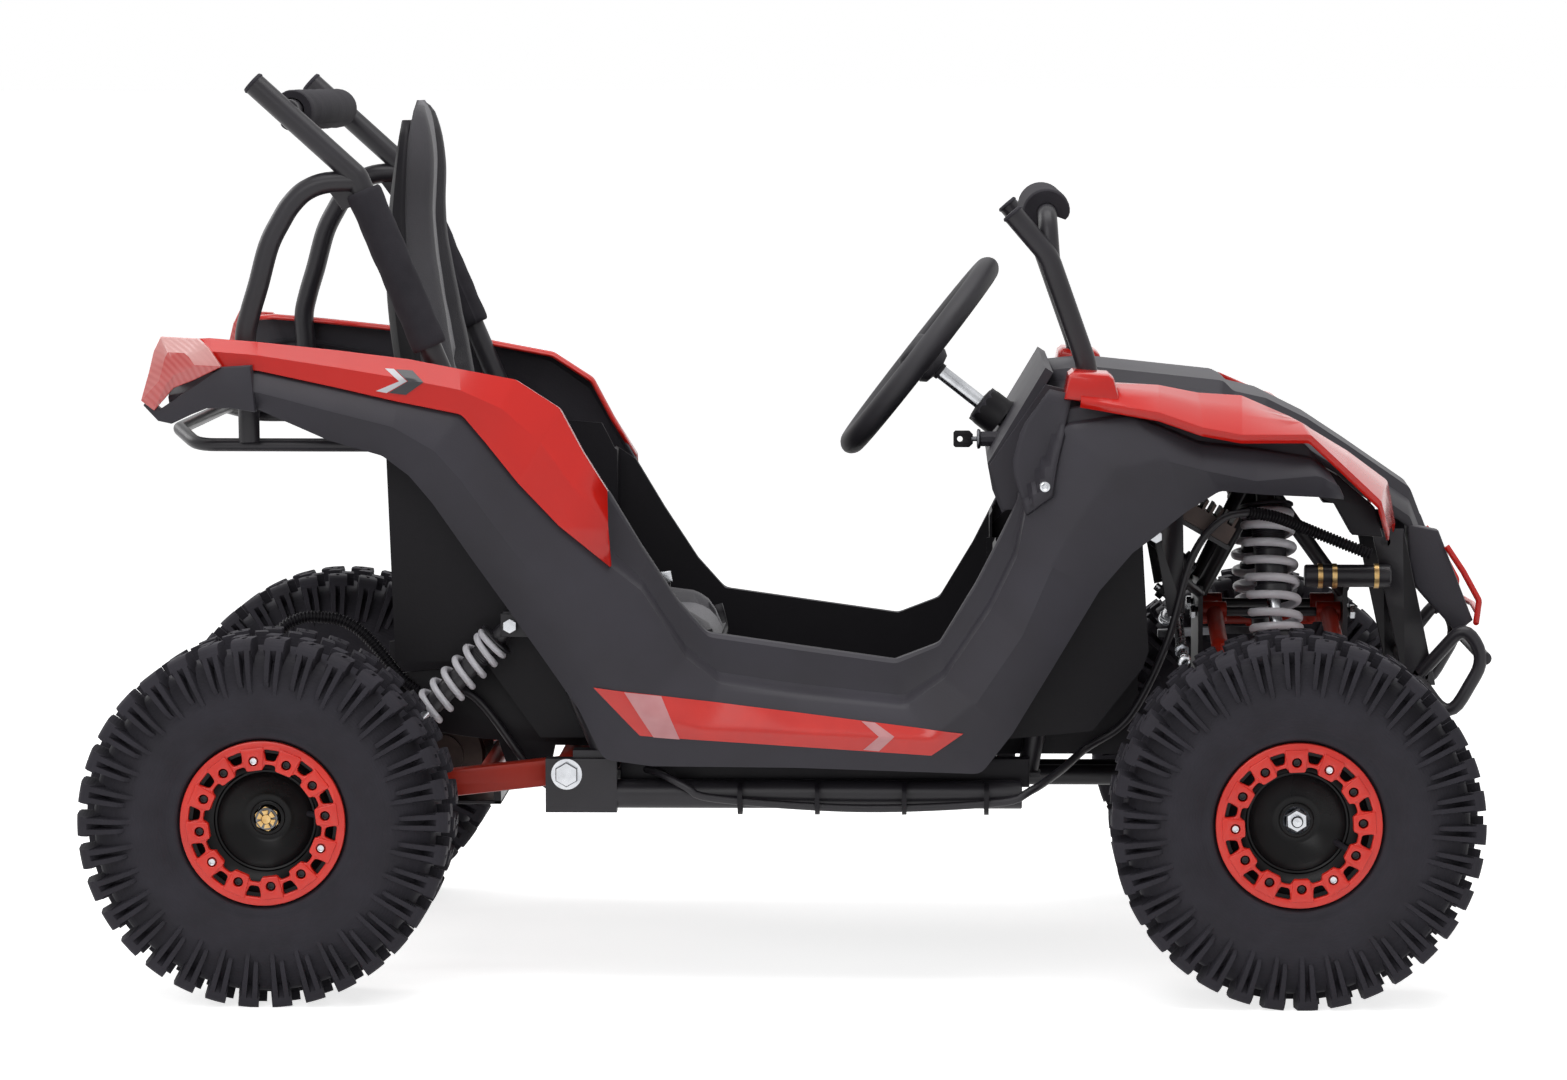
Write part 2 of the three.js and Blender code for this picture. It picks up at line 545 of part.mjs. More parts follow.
// Foam half pipes on the cross tubes and foam sleeves on the cage legs
const arc = (x, z, r, from, to, steps) => {
  const points = [];
  for (let i = 0; i <= steps; i += 1) {
    const turn = ((from + ((to - from) * i) / steps) * Math.PI) / 180;
    points.push([x + r * Math.cos(turn), z + r * Math.sin(turn)]);
  }
  return points;
};
const halfPipe = (x, z, inner, outer, from, to, half) =>
  slab([...arc(x, z, outer, from, to, 8), ...arc(x, z, inner, to, from, 8)], -half, half);
add('rear_pad', halfPipe(bar.x, bar.z, cage.r + 3 * running, 22, 30, 300, 225), looks.foam);
add('front_pad', halfPipe(258, hoop.cross_z, 10 + running, 26, -20, 230, 175), looks.foam);
const sleeve = { r: 20, top: 800, low: 664 };
for (const [name, side] of sides) {
  const y = cage.y;
  const ends = [sleeve.low, sleeve.top].map((z) => [leg_at(z), y, z]);
  const far = [sleeve.low - 10, sleeve.top + 10].map((z) => [leg_at(z), y, z]);
  const wrap = cut(rod(ends[0], ends[1], sleeve.r, 10), rod(far[0], far[1], cage.r + running, 8));
  add(`cage_sleeve_${name}`, sided(wrap, side), looks.foam);
}

// Side panel: one moulding from the rear fender through the sill to the front fender.
// Each station holds x and z of the top edge, the lip, the crease and the lower edge.
const station_shares = [
  [[-0.598, 0.985], [-0.598, 0.93], [-0.6, 0.905], [-0.598, 0.866]],
  [[-0.563, 0.988], [-0.548, 0.949], [-0.552, 0.92], [-0.557, 0.891]],
  [[-0.515, 0.982], [-0.513, 0.944], [-0.512, 0.912], [-0.512, 0.884]],
  [[-0.435, 0.969], [-0.435, 0.918], [-0.438, 0.882], [-0.444, 0.838]],
  [[-0.367, 0.956], [-0.376, 0.897], [-0.381, 0.86], [-0.392, 0.815]],
  [[-0.317, 0.941], [-0.314, 0.878], [-0.34, 0.824], [-0.366, 0.785]],
  [[-0.262, 0.925], [-0.29, 0.834], [-0.314, 0.779], [-0.343, 0.743]],
  [[-0.219, 0.882], [-0.259, 0.774], [-0.283, 0.713], [-0.305, 0.659]],
  [[-0.197, 0.818], [-0.219, 0.709], [-0.243, 0.632], [-0.272, 0.588]],
  [[-0.172, 0.756], [-0.169, 0.647], [-0.197, 0.544], [-0.235, 0.507]],
  [[-0.141, 0.676], [-0.138, 0.609], [-0.176, 0.485], [-0.2, 0.429]],
  [[-0.105, 0.591], [-0.095, 0.507], [-0.143, 0.426], [-0.176, 0.353]],
  [[-0.076, 0.541], [-0.062, 0.468], [-0.081, 0.4], [-0.129, 0.343]],
  [[0.014, 0.521], [0.014, 0.451], [0.014, 0.394], [0.014, 0.341]],
  [[0.11, 0.5], [0.121, 0.434], [0.148, 0.385], [0.195, 0.332]],
  [[0.154, 0.526], [0.159, 0.476], [0.19, 0.441], [0.226, 0.394]],
  [[0.19, 0.618], [0.205, 0.582], [0.235, 0.544], [0.264, 0.491]],
  [[0.214, 0.691], [0.23, 0.662], [0.264, 0.647], [0.31, 0.61]],
  [[0.228, 0.735], [0.239, 0.735], [0.3, 0.735], [0.343, 0.669]],
  [[0.262, 0.882], [0.277, 0.86], [0.329, 0.794], [0.365, 0.694]],
  [[0.329, 0.9], [0.343, 0.875], [0.376, 0.809], [0.395, 0.731]],
  [[0.407, 0.865], [0.408, 0.831], [0.414, 0.794], [0.428, 0.763]],
  [[0.458, 0.843], [0.462, 0.824], [0.462, 0.779], [0.471, 0.757]],
  [[0.51, 0.835], [0.519, 0.809], [0.524, 0.787], [0.529, 0.753]],
  [[0.526, 0.806], [0.535, 0.79], [0.542, 0.771], [0.548, 0.75]],
];
const mid_x = (front_x + rear_x) / 2;
const panelPoint = ([x_share, z_share], y) => [mid_x + x_share * wheelbase, y, z_share * body.height];
const lip_first = 9;
const lip_last = 18;
const panel_y = [
  (k) => (k >= lip_first && k <= lip_last ? body.lip_y : body.top_y),
  () => body.edge_y,
  () => body.crease_y,
  () => body.lower_y,
];
const panel_rails = panel_y.map((y, r) => station_shares.map((station, k) => panelPoint(station[r], y(k))));
for (const [name, side] of sides) {
  add(`side_panel_${name}`, sided(skin(panel_rails, body.panel), side), looks.charcoal);
}

// Rear trim: a red blade clipped on the fender from the tail light down to the sill
const trim = { thick: 4, bulge: 7, gap: running, count: 10 };
const lamp_shares = [[-0.613, 0.975], [-0.606, 0.997], [-0.57, 0.994], [-0.56, 0.981], [-0.547, 0.951],
  [-0.574, 0.931], [-0.594, 0.919], [-0.613, 0.885], [-0.626, 0.9], [-0.618, 0.943]];
const makeRearTrim = () => {
  const out = trim.gap + trim.thick;
  const top = panel_rails[0].slice(0, trim.count).map(([x, y, z]) => [x, Math.max(y, body.top_y) + out, z + 3]);
  const low = panel_rails[1].slice(0, trim.count).map(([x, y, z]) => [x, y + out, z]);
  const mid = top.map((p, k) => p.map((value, i) => (value + low[k][i]) / 2 + (i === 1 ? trim.bulge : 0)));
  const blade = skin([top, mid, low], trim.thick);
  const lamp = slab(lamp_shares.map((share) => [panelPoint(share, 0)[0], panelPoint(share, 0)[2]]),
    body.crease_y + running, body.crease_y + 12);
  const root = block([-646, body.edge_y + out - 2, 636], [-622, body.crease_y + 2, 656]);
  return join(blade, lamp, root);
};
const rear_trim = makeRearTrim();
for (const [name, side] of sides) add(`rear_trim_${name}`, sided(rear_trim, side), looks.red);

// Front trim: a red strip between the bonnet's edge and the fender, with the bracket at the hoop
const bonnet = { half: 205, nose_half: 118, thick: 3 };
const front_trim_shares = [
  [[0.282, 0.948], [0.3, 0.925]],
  [[0.33, 0.938], [0.335, 0.915]],
  [[0.37, 0.921], [0.4, 0.888]],
  [[0.409, 0.915], [0.44, 0.862]],
  [[0.444, 0.915], [0.485, 0.858]],
  [[0.51, 0.858], [0.528, 0.851]],
  [[0.572, 0.802], [0.563, 0.785]],
  [[0.602, 0.76], [0.585, 0.74]],
  [[0.605, 0.691], [0.594, 0.688]],
];
const front_trim_y = [[216, 280], [217, 288], [217, 296], [216, 306], [212, 306], [196, 306], [168, 300], [146, 285], [146, 262]];
const makeFrontTrim = () => {
  const edge = (i) => front_trim_shares.map((pair, k) => panelPoint(pair[i], front_trim_y[k][i]));
  const lift = (rail_points) => rail_points.map(([x, y, z]) => [x, y + 14, z + 6]);
  const top = lift(edge(0));
  const low = lift(edge(1));
  const mid = top.map((p, k) => p.map((value, i) => (value + low[k][i]) / 2 + (i === 0 ? 0 : 3)));
  return join(skin([top, mid, low], trim.thick, [-0.7, 0, -0.7]), block([408, 281.5, 589.8], [418, 284.5, 612]));
};
const front_trim = makeFrontTrim();
for (const [name, side] of sides) add(`front_trim_${name}`, sided(front_trim, side), looks.red);

// Bonnet with the nose mask; stations run from the dash to the nose
const bonnet_stations = [[262.7, 634, 200], [305, 638, 200], [362, 630, 202], [428, 622, 202], [452, 611, 201],
  [492, 600, 194], [536, 578, 180], [580, 549, 160], [622, 520, 138], [648, 504, 124], [662, 470, 120], [690, 420, 118],
  [708, 384, 112], [699, 358, 106]];
const makeBonnet = () => {
  const row = (y_share, drop) => bonnet_stations.map(([x, z, half]) => [x, y_share * half, z - drop]);
  const rows = [row(-1, 26), row(-0.93, 8), row(-0.45, 1), row(0.45, 1), row(0.93, 8), row(1, 26)];
  const outer = rows;
  const count = rows.length * bonnet_stations.length;
  const positions = [];
  const index = [];
  const shift = (k) => {
    const a = bonnet_stations[Math.max(k - 1, 0)];
    const b = bonnet_stations[Math.min(k + 1, bonnet_stations.length - 1)];
    const long = Math.hypot(b[0] - a[0], b[1] - a[1]);
    return [((b[1] - a[1]) / long) * bonnet.thick, (-(b[0] - a[0]) / long) * bonnet.thick];
  };
  for (const inner of [0, 1]) {
    for (const points of outer) {
      points.forEach(([x, y, z], k) => {
        const [dx, dz] = shift(k);
        const draw = inner * bonnet.thick * Math.sign(y) * (Math.abs(y) > bonnet_stations[k][2] / 2 ? 1 : 0);
        positions.push(x + inner * dx, y - draw, z + inner * dz);
      });
    }
  }
  const long = bonnet_stations.length;
  const at = (r, k, inner) => inner * count + r * long + k;
  const quad = (a, b, c, d) => index.push(a, b, c, a, c, d);
  for (let r = 0; r < rows.length - 1; r += 1) {
    for (let k = 0; k < long - 1; k += 1) {
      quad(at(r, k, 0), at(r, k + 1, 0), at(r + 1, k + 1, 0), at(r + 1, k, 0));
      quad(at(r, k, 1), at(r + 1, k, 1), at(r + 1, k + 1, 1), at(r, k + 1, 1));
    }
    quad(at(r, 0, 0), at(r + 1, 0, 0), at(r + 1, 0, 1), at(r, 0, 1));
    quad(at(r, long - 1, 0), at(r, long - 1, 1), at(r + 1, long - 1, 1), at(r + 1, long - 1, 0));
  }
  for (let k = 0; k < long - 1; k += 1) {
    quad(at(0, k, 0), at(0, k, 1), at(0, k + 1, 1), at(0, k + 1, 0));
    quad(at(rows.length - 1, k, 0), at(rows.length - 1, k + 1, 0), at(rows.length - 1, k + 1, 1), at(rows.length - 1, k, 1));
  }
  const geometry = new THREE.BufferGeometry();
  geometry.setAttribute('position', new THREE.Float32BufferAttribute(positions, 3));
  geometry.setIndex(index);
  const slots = [];
  for (const y of [-75, -25, 25, 75]) slots.push(block([660, y - 21, 396], [760, y + 21, 436]));
  return cut(geometry, ...slots);
};
add('bonnet', makeBonnet(), looks.charcoal);

// Dash with its side cheeks, the cap round the column and the ignition lock
const lean_rad = (column.angle * Math.PI) / 180;
const along = (s, up = 0) => [column.x + s * Math.cos(lean_rad) + up * Math.sin(lean_rad), 0,
  column.z - s * Math.sin(lean_rad) + up * Math.cos(lean_rad)];
const lock = { x: 196, y: -60, z: 556, r: 8, long: 18 };
const makeDash = () => {
  const face = slab([[256, 641], [264, 636], [208, 540], [212, 514], [219, 494], [211, 490], [201, 514], [196, 541]], -227, 227);
  const cheek = [[256, 624], [279, 618], [299, 612], [299, 588], [277, 576], [260, 510], [236, 494], [212, 494], [198, 540]];
  const cheek_y = hoop.y + hoop.r + 2 * clearance;
  const cheeks = both((s) => sided(slab(cheek, cheek_y, cheek_y + 10), s));
  const cap = rod(along(84), along(112), 21, 12);
  const barrel = rod([lock.x - lock.long / 2, lock.y, lock.z], [lock.x + lock.long, lock.y, lock.z], lock.r, 10);
  const bore = rod(along(60), along(150), column.r + running, 12);
  const hoops = both((s) => sided(block([284, 202, 560], [330, cheek_y, 660]), s));
  return cut(join(face, ...cheeks, cap, barrel), bore, ...hoops);
};
add('dash', makeDash(), looks.charcoal);
add('ignition_key', join(
  rod([lock.x - lock.long / 2 - clearance, lock.y, lock.z], [lock.x - lock.long / 2 - 6, lock.y, lock.z], 4, 8),
  block([lock.x - lock.long / 2 - 26, lock.y - 1.5, lock.z - 9], [lock.x - lock.long / 2 - 5, lock.y + 1.5, lock.z + 9]),
), looks.steel);

// Steering wheel with its column and pitman arm
const steer_arm = 109;
const pitman = { r: (steer_arm * steer.road_deg) / steer.wheel_deg, thick: 8 };
const makeSteering = () => {
  const rim_ring = new THREE.TorusGeometry(wheel.r, wheel.grip, 6, 18);
  const upright_turn = new THREE.Matrix4().makeRotationY(Math.PI / 2 + lean_rad);
  const ring_body = rim_ring.applyMatrix4(upright_turn).translate(...along(0));
  const hub = rod(along(-12), along(24), wheel.hub, 8);
  const across = new THREE.Vector3(0, 1, 0);
  const axis = new THREE.Vector3(Math.cos(lean_rad), 0, -Math.sin(lean_rad));
  const spokes = [0, 120, 240].map((turn) => {
    const way = new THREE.Vector3(-Math.sin(lean_rad), 0, -Math.cos(lean_rad)).applyAxisAngle(axis, (turn * Math.PI) / 180);
    const a = new THREE.Vector3(...along(4));
    const b = new THREE.Vector3(...along(0)).add(way.multiplyScalar(wheel.r));
    return rod(a.toArray(), b.toArray(), wheel.spoke, 4);
  });
  const shaft = rod(along(10), along(column.long), column.r, 8);
  const tip = along(column.long - 7, -pitman.r);
  const hang = join(
    rod(along(column.long - 11), along(column.long - 3), 13, 8),
    rod(along(column.long - 11, -pitman.r), along(column.long - 3, -pitman.r), 9, 8),
    rod(along(column.long - 7), tip, 4, 6),
  );
  return join(ring_body, hub, ...spokes, shaft, hang);
};
add('steering_wheel', makeSteering(), looks.black);

// Tub: floor, side walls and back box in one shell, open above, with the foot well ahead
const tub_rear_half = 214;
const tub_lip = station_shares.slice(lip_first, lip_last - 1).map((station) => panelPoint(station[0], 0)).reverse();
const tub_sill = [[tub.front, tub_lip[0][2] + 40], ...tub_lip.map(([x, , z]) => [x, z - running])];
const makeTub = () => {
  const w = tub.wall;
  const raised = 252;
  const back = [[-tub.rear, 572], [-tub.rear + 9, tub.step], [-330, tub.step], [-272, raised], [-214, raised]];
  const floor = [[-208, tub.floor], [tub.front, tub.floor]];
  const rear_top = [[-206, 505], [-232, 556]];
  const pan = slab([[-218, raised], ...floor, ...tub_sill, [-218, 528]], -tub.y, tub.y);
  const box = slab([...back, ...floor, ...rear_top], -tub_rear_half, tub_rear_half);
  const lifted = (line) => line.map(([x, z]) => [x, z + w]);
  const inner = [[-tub.rear + w, 720], [-tub.rear + w, 572], [-tub.rear + 9 + w, tub.step + w], [-330 + w, tub.step + w],
    [-272 + w, raised + w], [-208 + w, raised + w], [-204 + w, tub.floor + w], [tub.front - w, tub.floor + w], [tub.front - w, 720]];
  const front_inner = [[-218 + w, 720], [-218 + w, raised + w], ...lifted(floor.slice(0, 1)), [tub.front - w, tub.floor + w],
    [tub.front - w, 720]];
  const well = block([tub.front - 2 * w, -tub.toe_y, tub.floor], [tub.toe, tub.toe_y, 430]);
  const well_inside = block([tub.front - 3 * w, -tub.toe_y + w, tub.floor + w], [tub.toe - w, tub.toe_y - w, 500]);
  const shelf = slab([[-tub.rear + 2, 571], [-tub.rear + 2, 567], [-458, 600], [-636, 608], [-636, 612], [-456, 604]],
    -tub.y + 4, tub.y - 4);
  const cheeks = both((s) => slab([[tub.front - 1, 252], [306, 262], [358, 328], [364, 345], [357, 466], [290, 490], [232, 470],
    [tub.front - 1, 440]], Math.min(s * 229, s * 232), Math.max(s * 229, s * 232)));
  const risers = both((s) => slab([[-200, tub.floor], [-158, tub.floor], [-158, 313.2], [-200, 311.1]],
    Math.min(s * 118, s * 130), Math.max(s * 118, s * 130)));
  const open = cut(join(pan, box), slab(inner, -tub_rear_half + w, tub_rear_half - w), slab(front_inner, -tub.y + w, tub.y - w));
  return join(cut(join(open, well, shelf, ...cheeks), well_inside), ...risers);
};
add('tub', makeTub(), looks.black);

// Seat: a moulded shell and a cushion that follow one line from the knees to the head
const seat_line = [[-88, 334], [-150, 318], [-230, 314], [-300, 322], [-345, 352], [-372, 410], [-392, 480], [-412, 560],
  [-428, 640], [-438, 720], [-437, 790], [-430, 850], [-421, 912]];
const seat_half = [140, 156, 162, 162, 158, 154, 152, 150, 142, 124, 108, 100, 84];
const seat_thick = [44, 64, 58, 56, 62, 60, 58, 56, 58, 54, 44, 38, 28];
const seat = { shell: 4, wing: 26, cushion_in: 10 };
const seatNormal = (k) => {
  const a = seat_line[Math.max(k - 1, 0)];
  const b = seat_line[Math.min(k + 1, seat_line.length - 1)];
  const long = Math.hypot(b[0] - a[0], b[1] - a[1]);
  return [(b[1] - a[1]) / long, -(b[0] - a[0]) / long];
};
const seatPoint = (k, y, out) => {
  const [nx, nz] = seatNormal(k);
  return [seat_line[k][0] + nx * out, y, seat_line[k][1] + nz * out];
};
const makeSeatShell = () => {
  const rings = seat_line.map((_, k) => {
    const half = seat_half[k];
    const wing = Math.min(seat.wing, seat_thick[k] * 0.6);
    const outer = [[-half, wing], [-half, 0], [-half * 0.85, -seat.shell], [half * 0.85, -seat.shell], [half, 0], [half, wing]];
    const inner = [[half - seat.shell, wing], [half - seat.shell, seat.shell], [-half + seat.shell, seat.shell], [-half + seat.shell, wing]];
    return [...outer, ...inner].map(([y, out]) => seatPoint(k, y, out));
  });
  const caps = [[0, 1, 8], [0, 8, 9], [1, 2, 8], [2, 3, 8], [3, 7, 8], [3, 4, 7], [4, 5, 7], [5, 6, 7]];
  return flipped(loft(rings, caps));
};
const makeCushion = () => {
  const fill = (k, swell) => {
    const half = seat_half[k] - seat.shell - 4 * running;
    const base = seat.shell + 3 * running;
    const top = seat_thick[k] * swell;
    return [[-half, base], [half, base], [half, top * 0.72], [half * 0.84, top], [half * 0.56, top * 0.84], [half * 0.44, top * 0.94],
      [-half * 0.44, top * 0.94], [-half * 0.56, top * 0.84], [-half * 0.84, top], [-half, top * 0.72]]
      .map(([y, out]) => seatPoint(k, y, out));
  };
  const last = seat_line.length - 1;
  return flipped(loft(seat_line.map((_, k) => fill(k, k === 0 || k === last ? 0.8 : 1))));
};
add('seat_shell', makeSeatShell(), looks.black);
add('seat_cushion', makeCushion(), looks.vinyl);

const battery = { x0: -198, x1: -72, half: 112, high: 66 };
add('battery', block([battery.x0, -battery.half, tub.floor + tub.wall + clearance],
  [battery.x1, battery.half, tub.floor + tub.wall + battery.high]), looks.charcoal);

// Pedals on the floor of the foot well: throttle on the right, brake on the left
const pedal = { x: 300, z: tub.floor + tub.wall + 9 + clearance, high: 110, half: 32, thick: 5, back: -4 };
for (const [name, y] of [['throttle_pedal', -95], ['brake_pedal', 95]]) {
  const stem = (t) => [pedal.x + pedal.back * t, pedal.z + pedal.high * t];
  const pad = slab([[pedal.x - pedal.thick, pedal.z], [pedal.x + pedal.thick, pedal.z], [stem(1)[0] + pedal.thick, stem(1)[1]],
    [stem(1)[0] - pedal.thick, stem(1)[1]]], y - pedal.half, y + pedal.half);
  add(name, join(pad, rod([pedal.x, y - pedal.half, pedal.z], [pedal.x, y + pedal.half, pedal.z], 9, 8)), looks.steel);
}

// Finned controller under the bonnet
const makeController = () => {
  const fins = [];
  const pitch = 9;
  for (let i = 0; i < 7; i += 1) fins.push(block([-30 + i * pitch, -28, 6], [-27 + i * pitch, 28, 18]));
  return join(block([-32, -28, -12], [30, 28, 7]), ...fins);
};
add('controller', makeController().rotateY(Math.PI / 6).translate(428, -150, 478), looks.black);

// Swing arm with the brake caliper and the motor cradle
const arm_line = (x) => swing.z + ((axle_z - swing.z) * (x - swing.x)) / (rear_x - swing.x);
const rear_low = shocks.rear.low;
const makeSwingArm = () => {
  const halves = both((s) => {
    const y0 = swing.y - swing.wide / 2;
    const y1 = swing.y + swing.wide / 2;
    const h = swing.tall / 2;
    const leg = slab([[swing.x, swing.z - h], [swing.x, swing.z + h], [rear_x, axle_z + h], [rear_x, axle_z - h]], y0, y1);
    const inner = shocks.rear.wide / 2 + running;
    const ear = (a, b) => slab([[rear_low[0] - 14, arm_line(rear_low[0])], [rear_low[0] + 14, arm_line(rear_low[0])],
      [rear_low[0] + 9, rear_low[2] + 9], [rear_low[0] - 9, rear_low[2] + 9]], a, b);
    return sided(join(
      leg,
      rod([rear_x, y0, axle_z], [rear_x, y1, axle_z], 25, 10),
      ear(swing.y - inner - 4, swing.y - inner),
      ear(swing.y + inner, swing.y + inner + 4),
      rod([rear_low[0], swing.y - inner - 4, rear_low[2]], [rear_low[0], swing.y + inner + 7, rear_low[2]], 4.2, 8),
    ), s);
  });
  const bar_x = [-330, -450];
  const bars = bar_x.map((x) => rod([x, -swing.y, arm_line(x)], [x, swing.y, arm_line(x)], swing.cross));
  const pivot = rod([swing.x, -swing.y - 14, swing.z], [swing.x, swing.y + 14, swing.z], swing.r, 8);
  const half = drive.motor_long / 2;
  const cradle = block([bar_x[1] - 4, -half, drive.plate_z], [bar_x[0] + 4, half, drive.plate_z + 4]);
  const webs = bar_x.map((x, i) => block([x - 4, -half, drive.plate_z], [x + 4, half, arm_line(x)]));
  const pad = block([bar_x[1] - 44, disc.y - 14, 172], [bar_x[1] + 2, disc.y + 14, 212]);
  const slot = block([bar_x[1] - 60, disc.y - disc.thick / 2 - 1, 150], [bar_x[1] - 16, disc.y + disc.thick / 2 + 1, 230]);
  const bores = both((s) => rod([rear_x, s * (swing.y - 30), axle_z], [rear_x, s * (swing.y + 30), axle_z], axle.r + 2 * running, 12));
  const pivot_bore = rod([swing.x, -swing.y - 40, swing.z], [swing.x, swing.y + 40, swing.z], axle.nut / 2 + 2 * running, 8);
  return cut(join(...halves, ...bars, pivot, cradle, ...webs, cut(pad, slot)), ...bores, pivot_bore);
};
add('swing_arm', makeSwingArm(), looks.arm);

const motor_z = drive.plate_z + 4 + clearance + drive.motor_r;
add('motor', join(
  rod([drive.motor_x, -drive.motor_long / 2, motor_z], [drive.motor_x, drive.motor_long / 2, motor_z], drive.motor_r, 12),
  rod([drive.motor_x, -drive.motor_long / 2 - 8, motor_z], [drive.motor_x, 0, motor_z], drive.motor_r / 2, 8),
), looks.black);

const sprocket = (count, y, bore) => {
  const points = [];
  const r = (count * teeth.pitch) / (2 * Math.PI);
  const tooth_shares = [[0, 0], [0.4, 1]];
  for (let i = 0; i < count; i += 1) {
    for (const [turn_share, rise_share] of tooth_shares) {
      const turn = (2 * Math.PI * (i + turn_share)) / count;
      const out = r + teeth.tall * (rise_share - 1);
      points.push([out * Math.cos(turn), out * Math.sin(turn)]);
    }
  }
  return slab(points, y - teeth.thick / 2, y + teeth.thick / 2, bore ? [circle(bore, 8)] : []);
};
add('motor_sprocket', cut(join(
  sprocket(teeth.front, drive.y, 0),
  rod([0, drive.motor_long / 2 + running, 0], [0, drive.y + 8, 0], drive.shaft, 8),
), rod([0, drive.motor_long / 2 - 5, 0], [0, drive.y + 20, 0], 3, 6)).translate(drive.motor_x, 0, motor_z), looks.steel);

// Chain: a closed loop that lies just outside the teeth of both sprockets
const chain_wide = 9;
const chain_thick = 6;
const makeChain = () => {
  const r0 = (teeth.rear * teeth.pitch) / (2 * Math.PI) + running;
  const r1 = (teeth.front * teeth.pitch) / (2 * Math.PI) + running;
  const dx = drive.motor_x - rear_x;
  const dz = motor_z - axle_z;
  const span = Math.hypot(dx, dz);
  const aim = Math.atan2(dz, dx);
  const open = Math.acos((r0 - r1) / span);
  const loopAt = (grow) => {
    const points = [];
    for (let i = 0; i <= 10; i += 1) {
      const turn = aim + open + ((2 * Math.PI - 2 * open) * i) / 10;
      points.push([rear_x + (r0 + grow) * Math.cos(turn), axle_z + (r0 + grow) * Math.sin(turn)]);
    }
    for (let i = 0; i <= 6; i += 1) {
      const turn = aim - open + (2 * open * i) / 6;
      points.push([drive.motor_x + (r1 + grow) * Math.cos(turn), motor_z + (r1 + grow) * Math.sin(turn)]);
    }
    return points;
  };
  return slab(loopAt(chain_thick), drive.y - chain_wide / 2, drive.y + chain_wide / 2, [loopAt(2 * running)]);
};
add('chain', makeChain(), looks.steel);

const axle_end = half_track + rim.half / 4 + clearance;
const makeAxle = () => join(
  rod([0, -axle_end - axle.nut_long, 0], [0, axle_end + axle.nut_long, 0], axle.r, 8),
  ...both((s) => rod([0, s * axle_end, 0], [0, s * (axle_end + axle.nut_long - 2), 0], axle.nut + 3, 6)),
  sprocket(teeth.rear, drive.y, 0),
  rod([0, disc.y - disc.thick / 2, 0], [0, disc.y + disc.thick / 2, 0], disc.r, 12),
);
add('rear_axle', makeAxle().translate(rear_x, 0, axle_z), looks.steel);

// Front suspension: two equal parallel arms a side, an upright between them and a spindle on its kingpin
const arm_out = arm.end_y;
const sleeve_at = (x, y, z, half, r) => rod([x - half, y, z], [x + half, y, z], r);
const makeArm = (z, shock) => {
  const slope = (y) => z - (arm.drop * (y - arm.pivot_y)) / (arm_out - arm.pivot_y);
  const cross_y = arm_out - 26;
  const legs = [-1, 1].map((way) => join(
    sleeve_at(arm_x + way * arm.leg, arm.pivot_y, z, leg_half, arm.eye),
    rod([arm_x + way * arm.leg, arm.pivot_y + 4, z], [arm_x + way * arm.leg, cross_y, slope(cross_y)], 10, 4),
  ));
  const cross = rod([arm_x - arm.leg - 7, cross_y, slope(cross_y)], [arm_x + arm.leg + 7, cross_y, slope(cross_y)], 9, 4);
  const stub = join(
    rod([front_x, cross_y, slope(cross_y)], [front_x, arm_out - 4, slope(arm_out)], 8, 6),
    sleeve_at(front_x, arm_out, slope(arm_out), 12, 9),
  );
  const bores = [-1, 1].map((way) => sleeve_at(arm_x + way * arm.leg, arm.pivot_y, z, leg_half + overrun, arm.pin + 2 * running));
  const tip_bore = sleeve_at(front_x, arm_out, slope(arm_out), 12 + overrun, upright.pin + 2 * running);
  const parts = [...legs, cross, stub];
  if (shock) {
    const f = shocks.front;
    const ear = f.wide / 2 + running + 1.4;
    parts.push(lean(f, join(
      block([-10, ear, -46], [9, ear + 4, 9]),
      block([-10, -ear - 4, -46], [9, -ear, 9]),
      rod([0, -ear - 7, 0], [0, ear + 7, 0], 4.2),
    )));
    parts.push(rod([arm_x - arm.leg, f.low[1], slope(f.low[1]) - 2], [arm_x + arm.leg, f.low[1], slope(f.low[1]) - 2], 9, 4));
  }
  return cut(join(...parts), ...bores, tip_bore);
};
const upper_arm = makeArm(arm.upper_z, false);
const lower_arm = makeArm(arm.lower_z, true);
const tip_high = arm.upper_z - arm.drop;
const tip_low = arm.lower_z - arm.drop;
const makeUpright = () => {
  const y0 = arm_out + 14;
  const y1 = y0 + upright.thick;
  const post = block([front_x - upright.wide / 2, y0, tip_low - 12], [front_x + upright.wide / 2, y1, tip_high + 12]);
  const forks = [tip_low, tip_high].map((z) => join(
    block([front_x - 20, y0, z - 8], [front_x + 20, y1, z + 8]),
    ...[-1, 1].map((way) => block([front_x + way * 16 - 3, arm_out - 9, z - 8], [front_x + way * 16 + 3, y1, z + 8])),
    rod([front_x - 16, arm_out, z], [front_x + 16, arm_out, z], upright.pin),
  ));
  const ears = [[upright.low - 8, upright.low - 2], [upright.high + 2, upright.high + 8]].map(([a, b]) =>
    block([front_x - upright.wide / 2, y1 - 2, a], [front_x + upright.wide / 2, upright.kingpin_y + 10, b]));
  const pin = rod([front_x, upright.kingpin_y, upright.low - 12], [front_x, upright.kingpin_y, upright.high + 12], upright.pin);
  return join(post, ...forks, ...ears, pin);
};
const stub_r = arm.pin + 3;
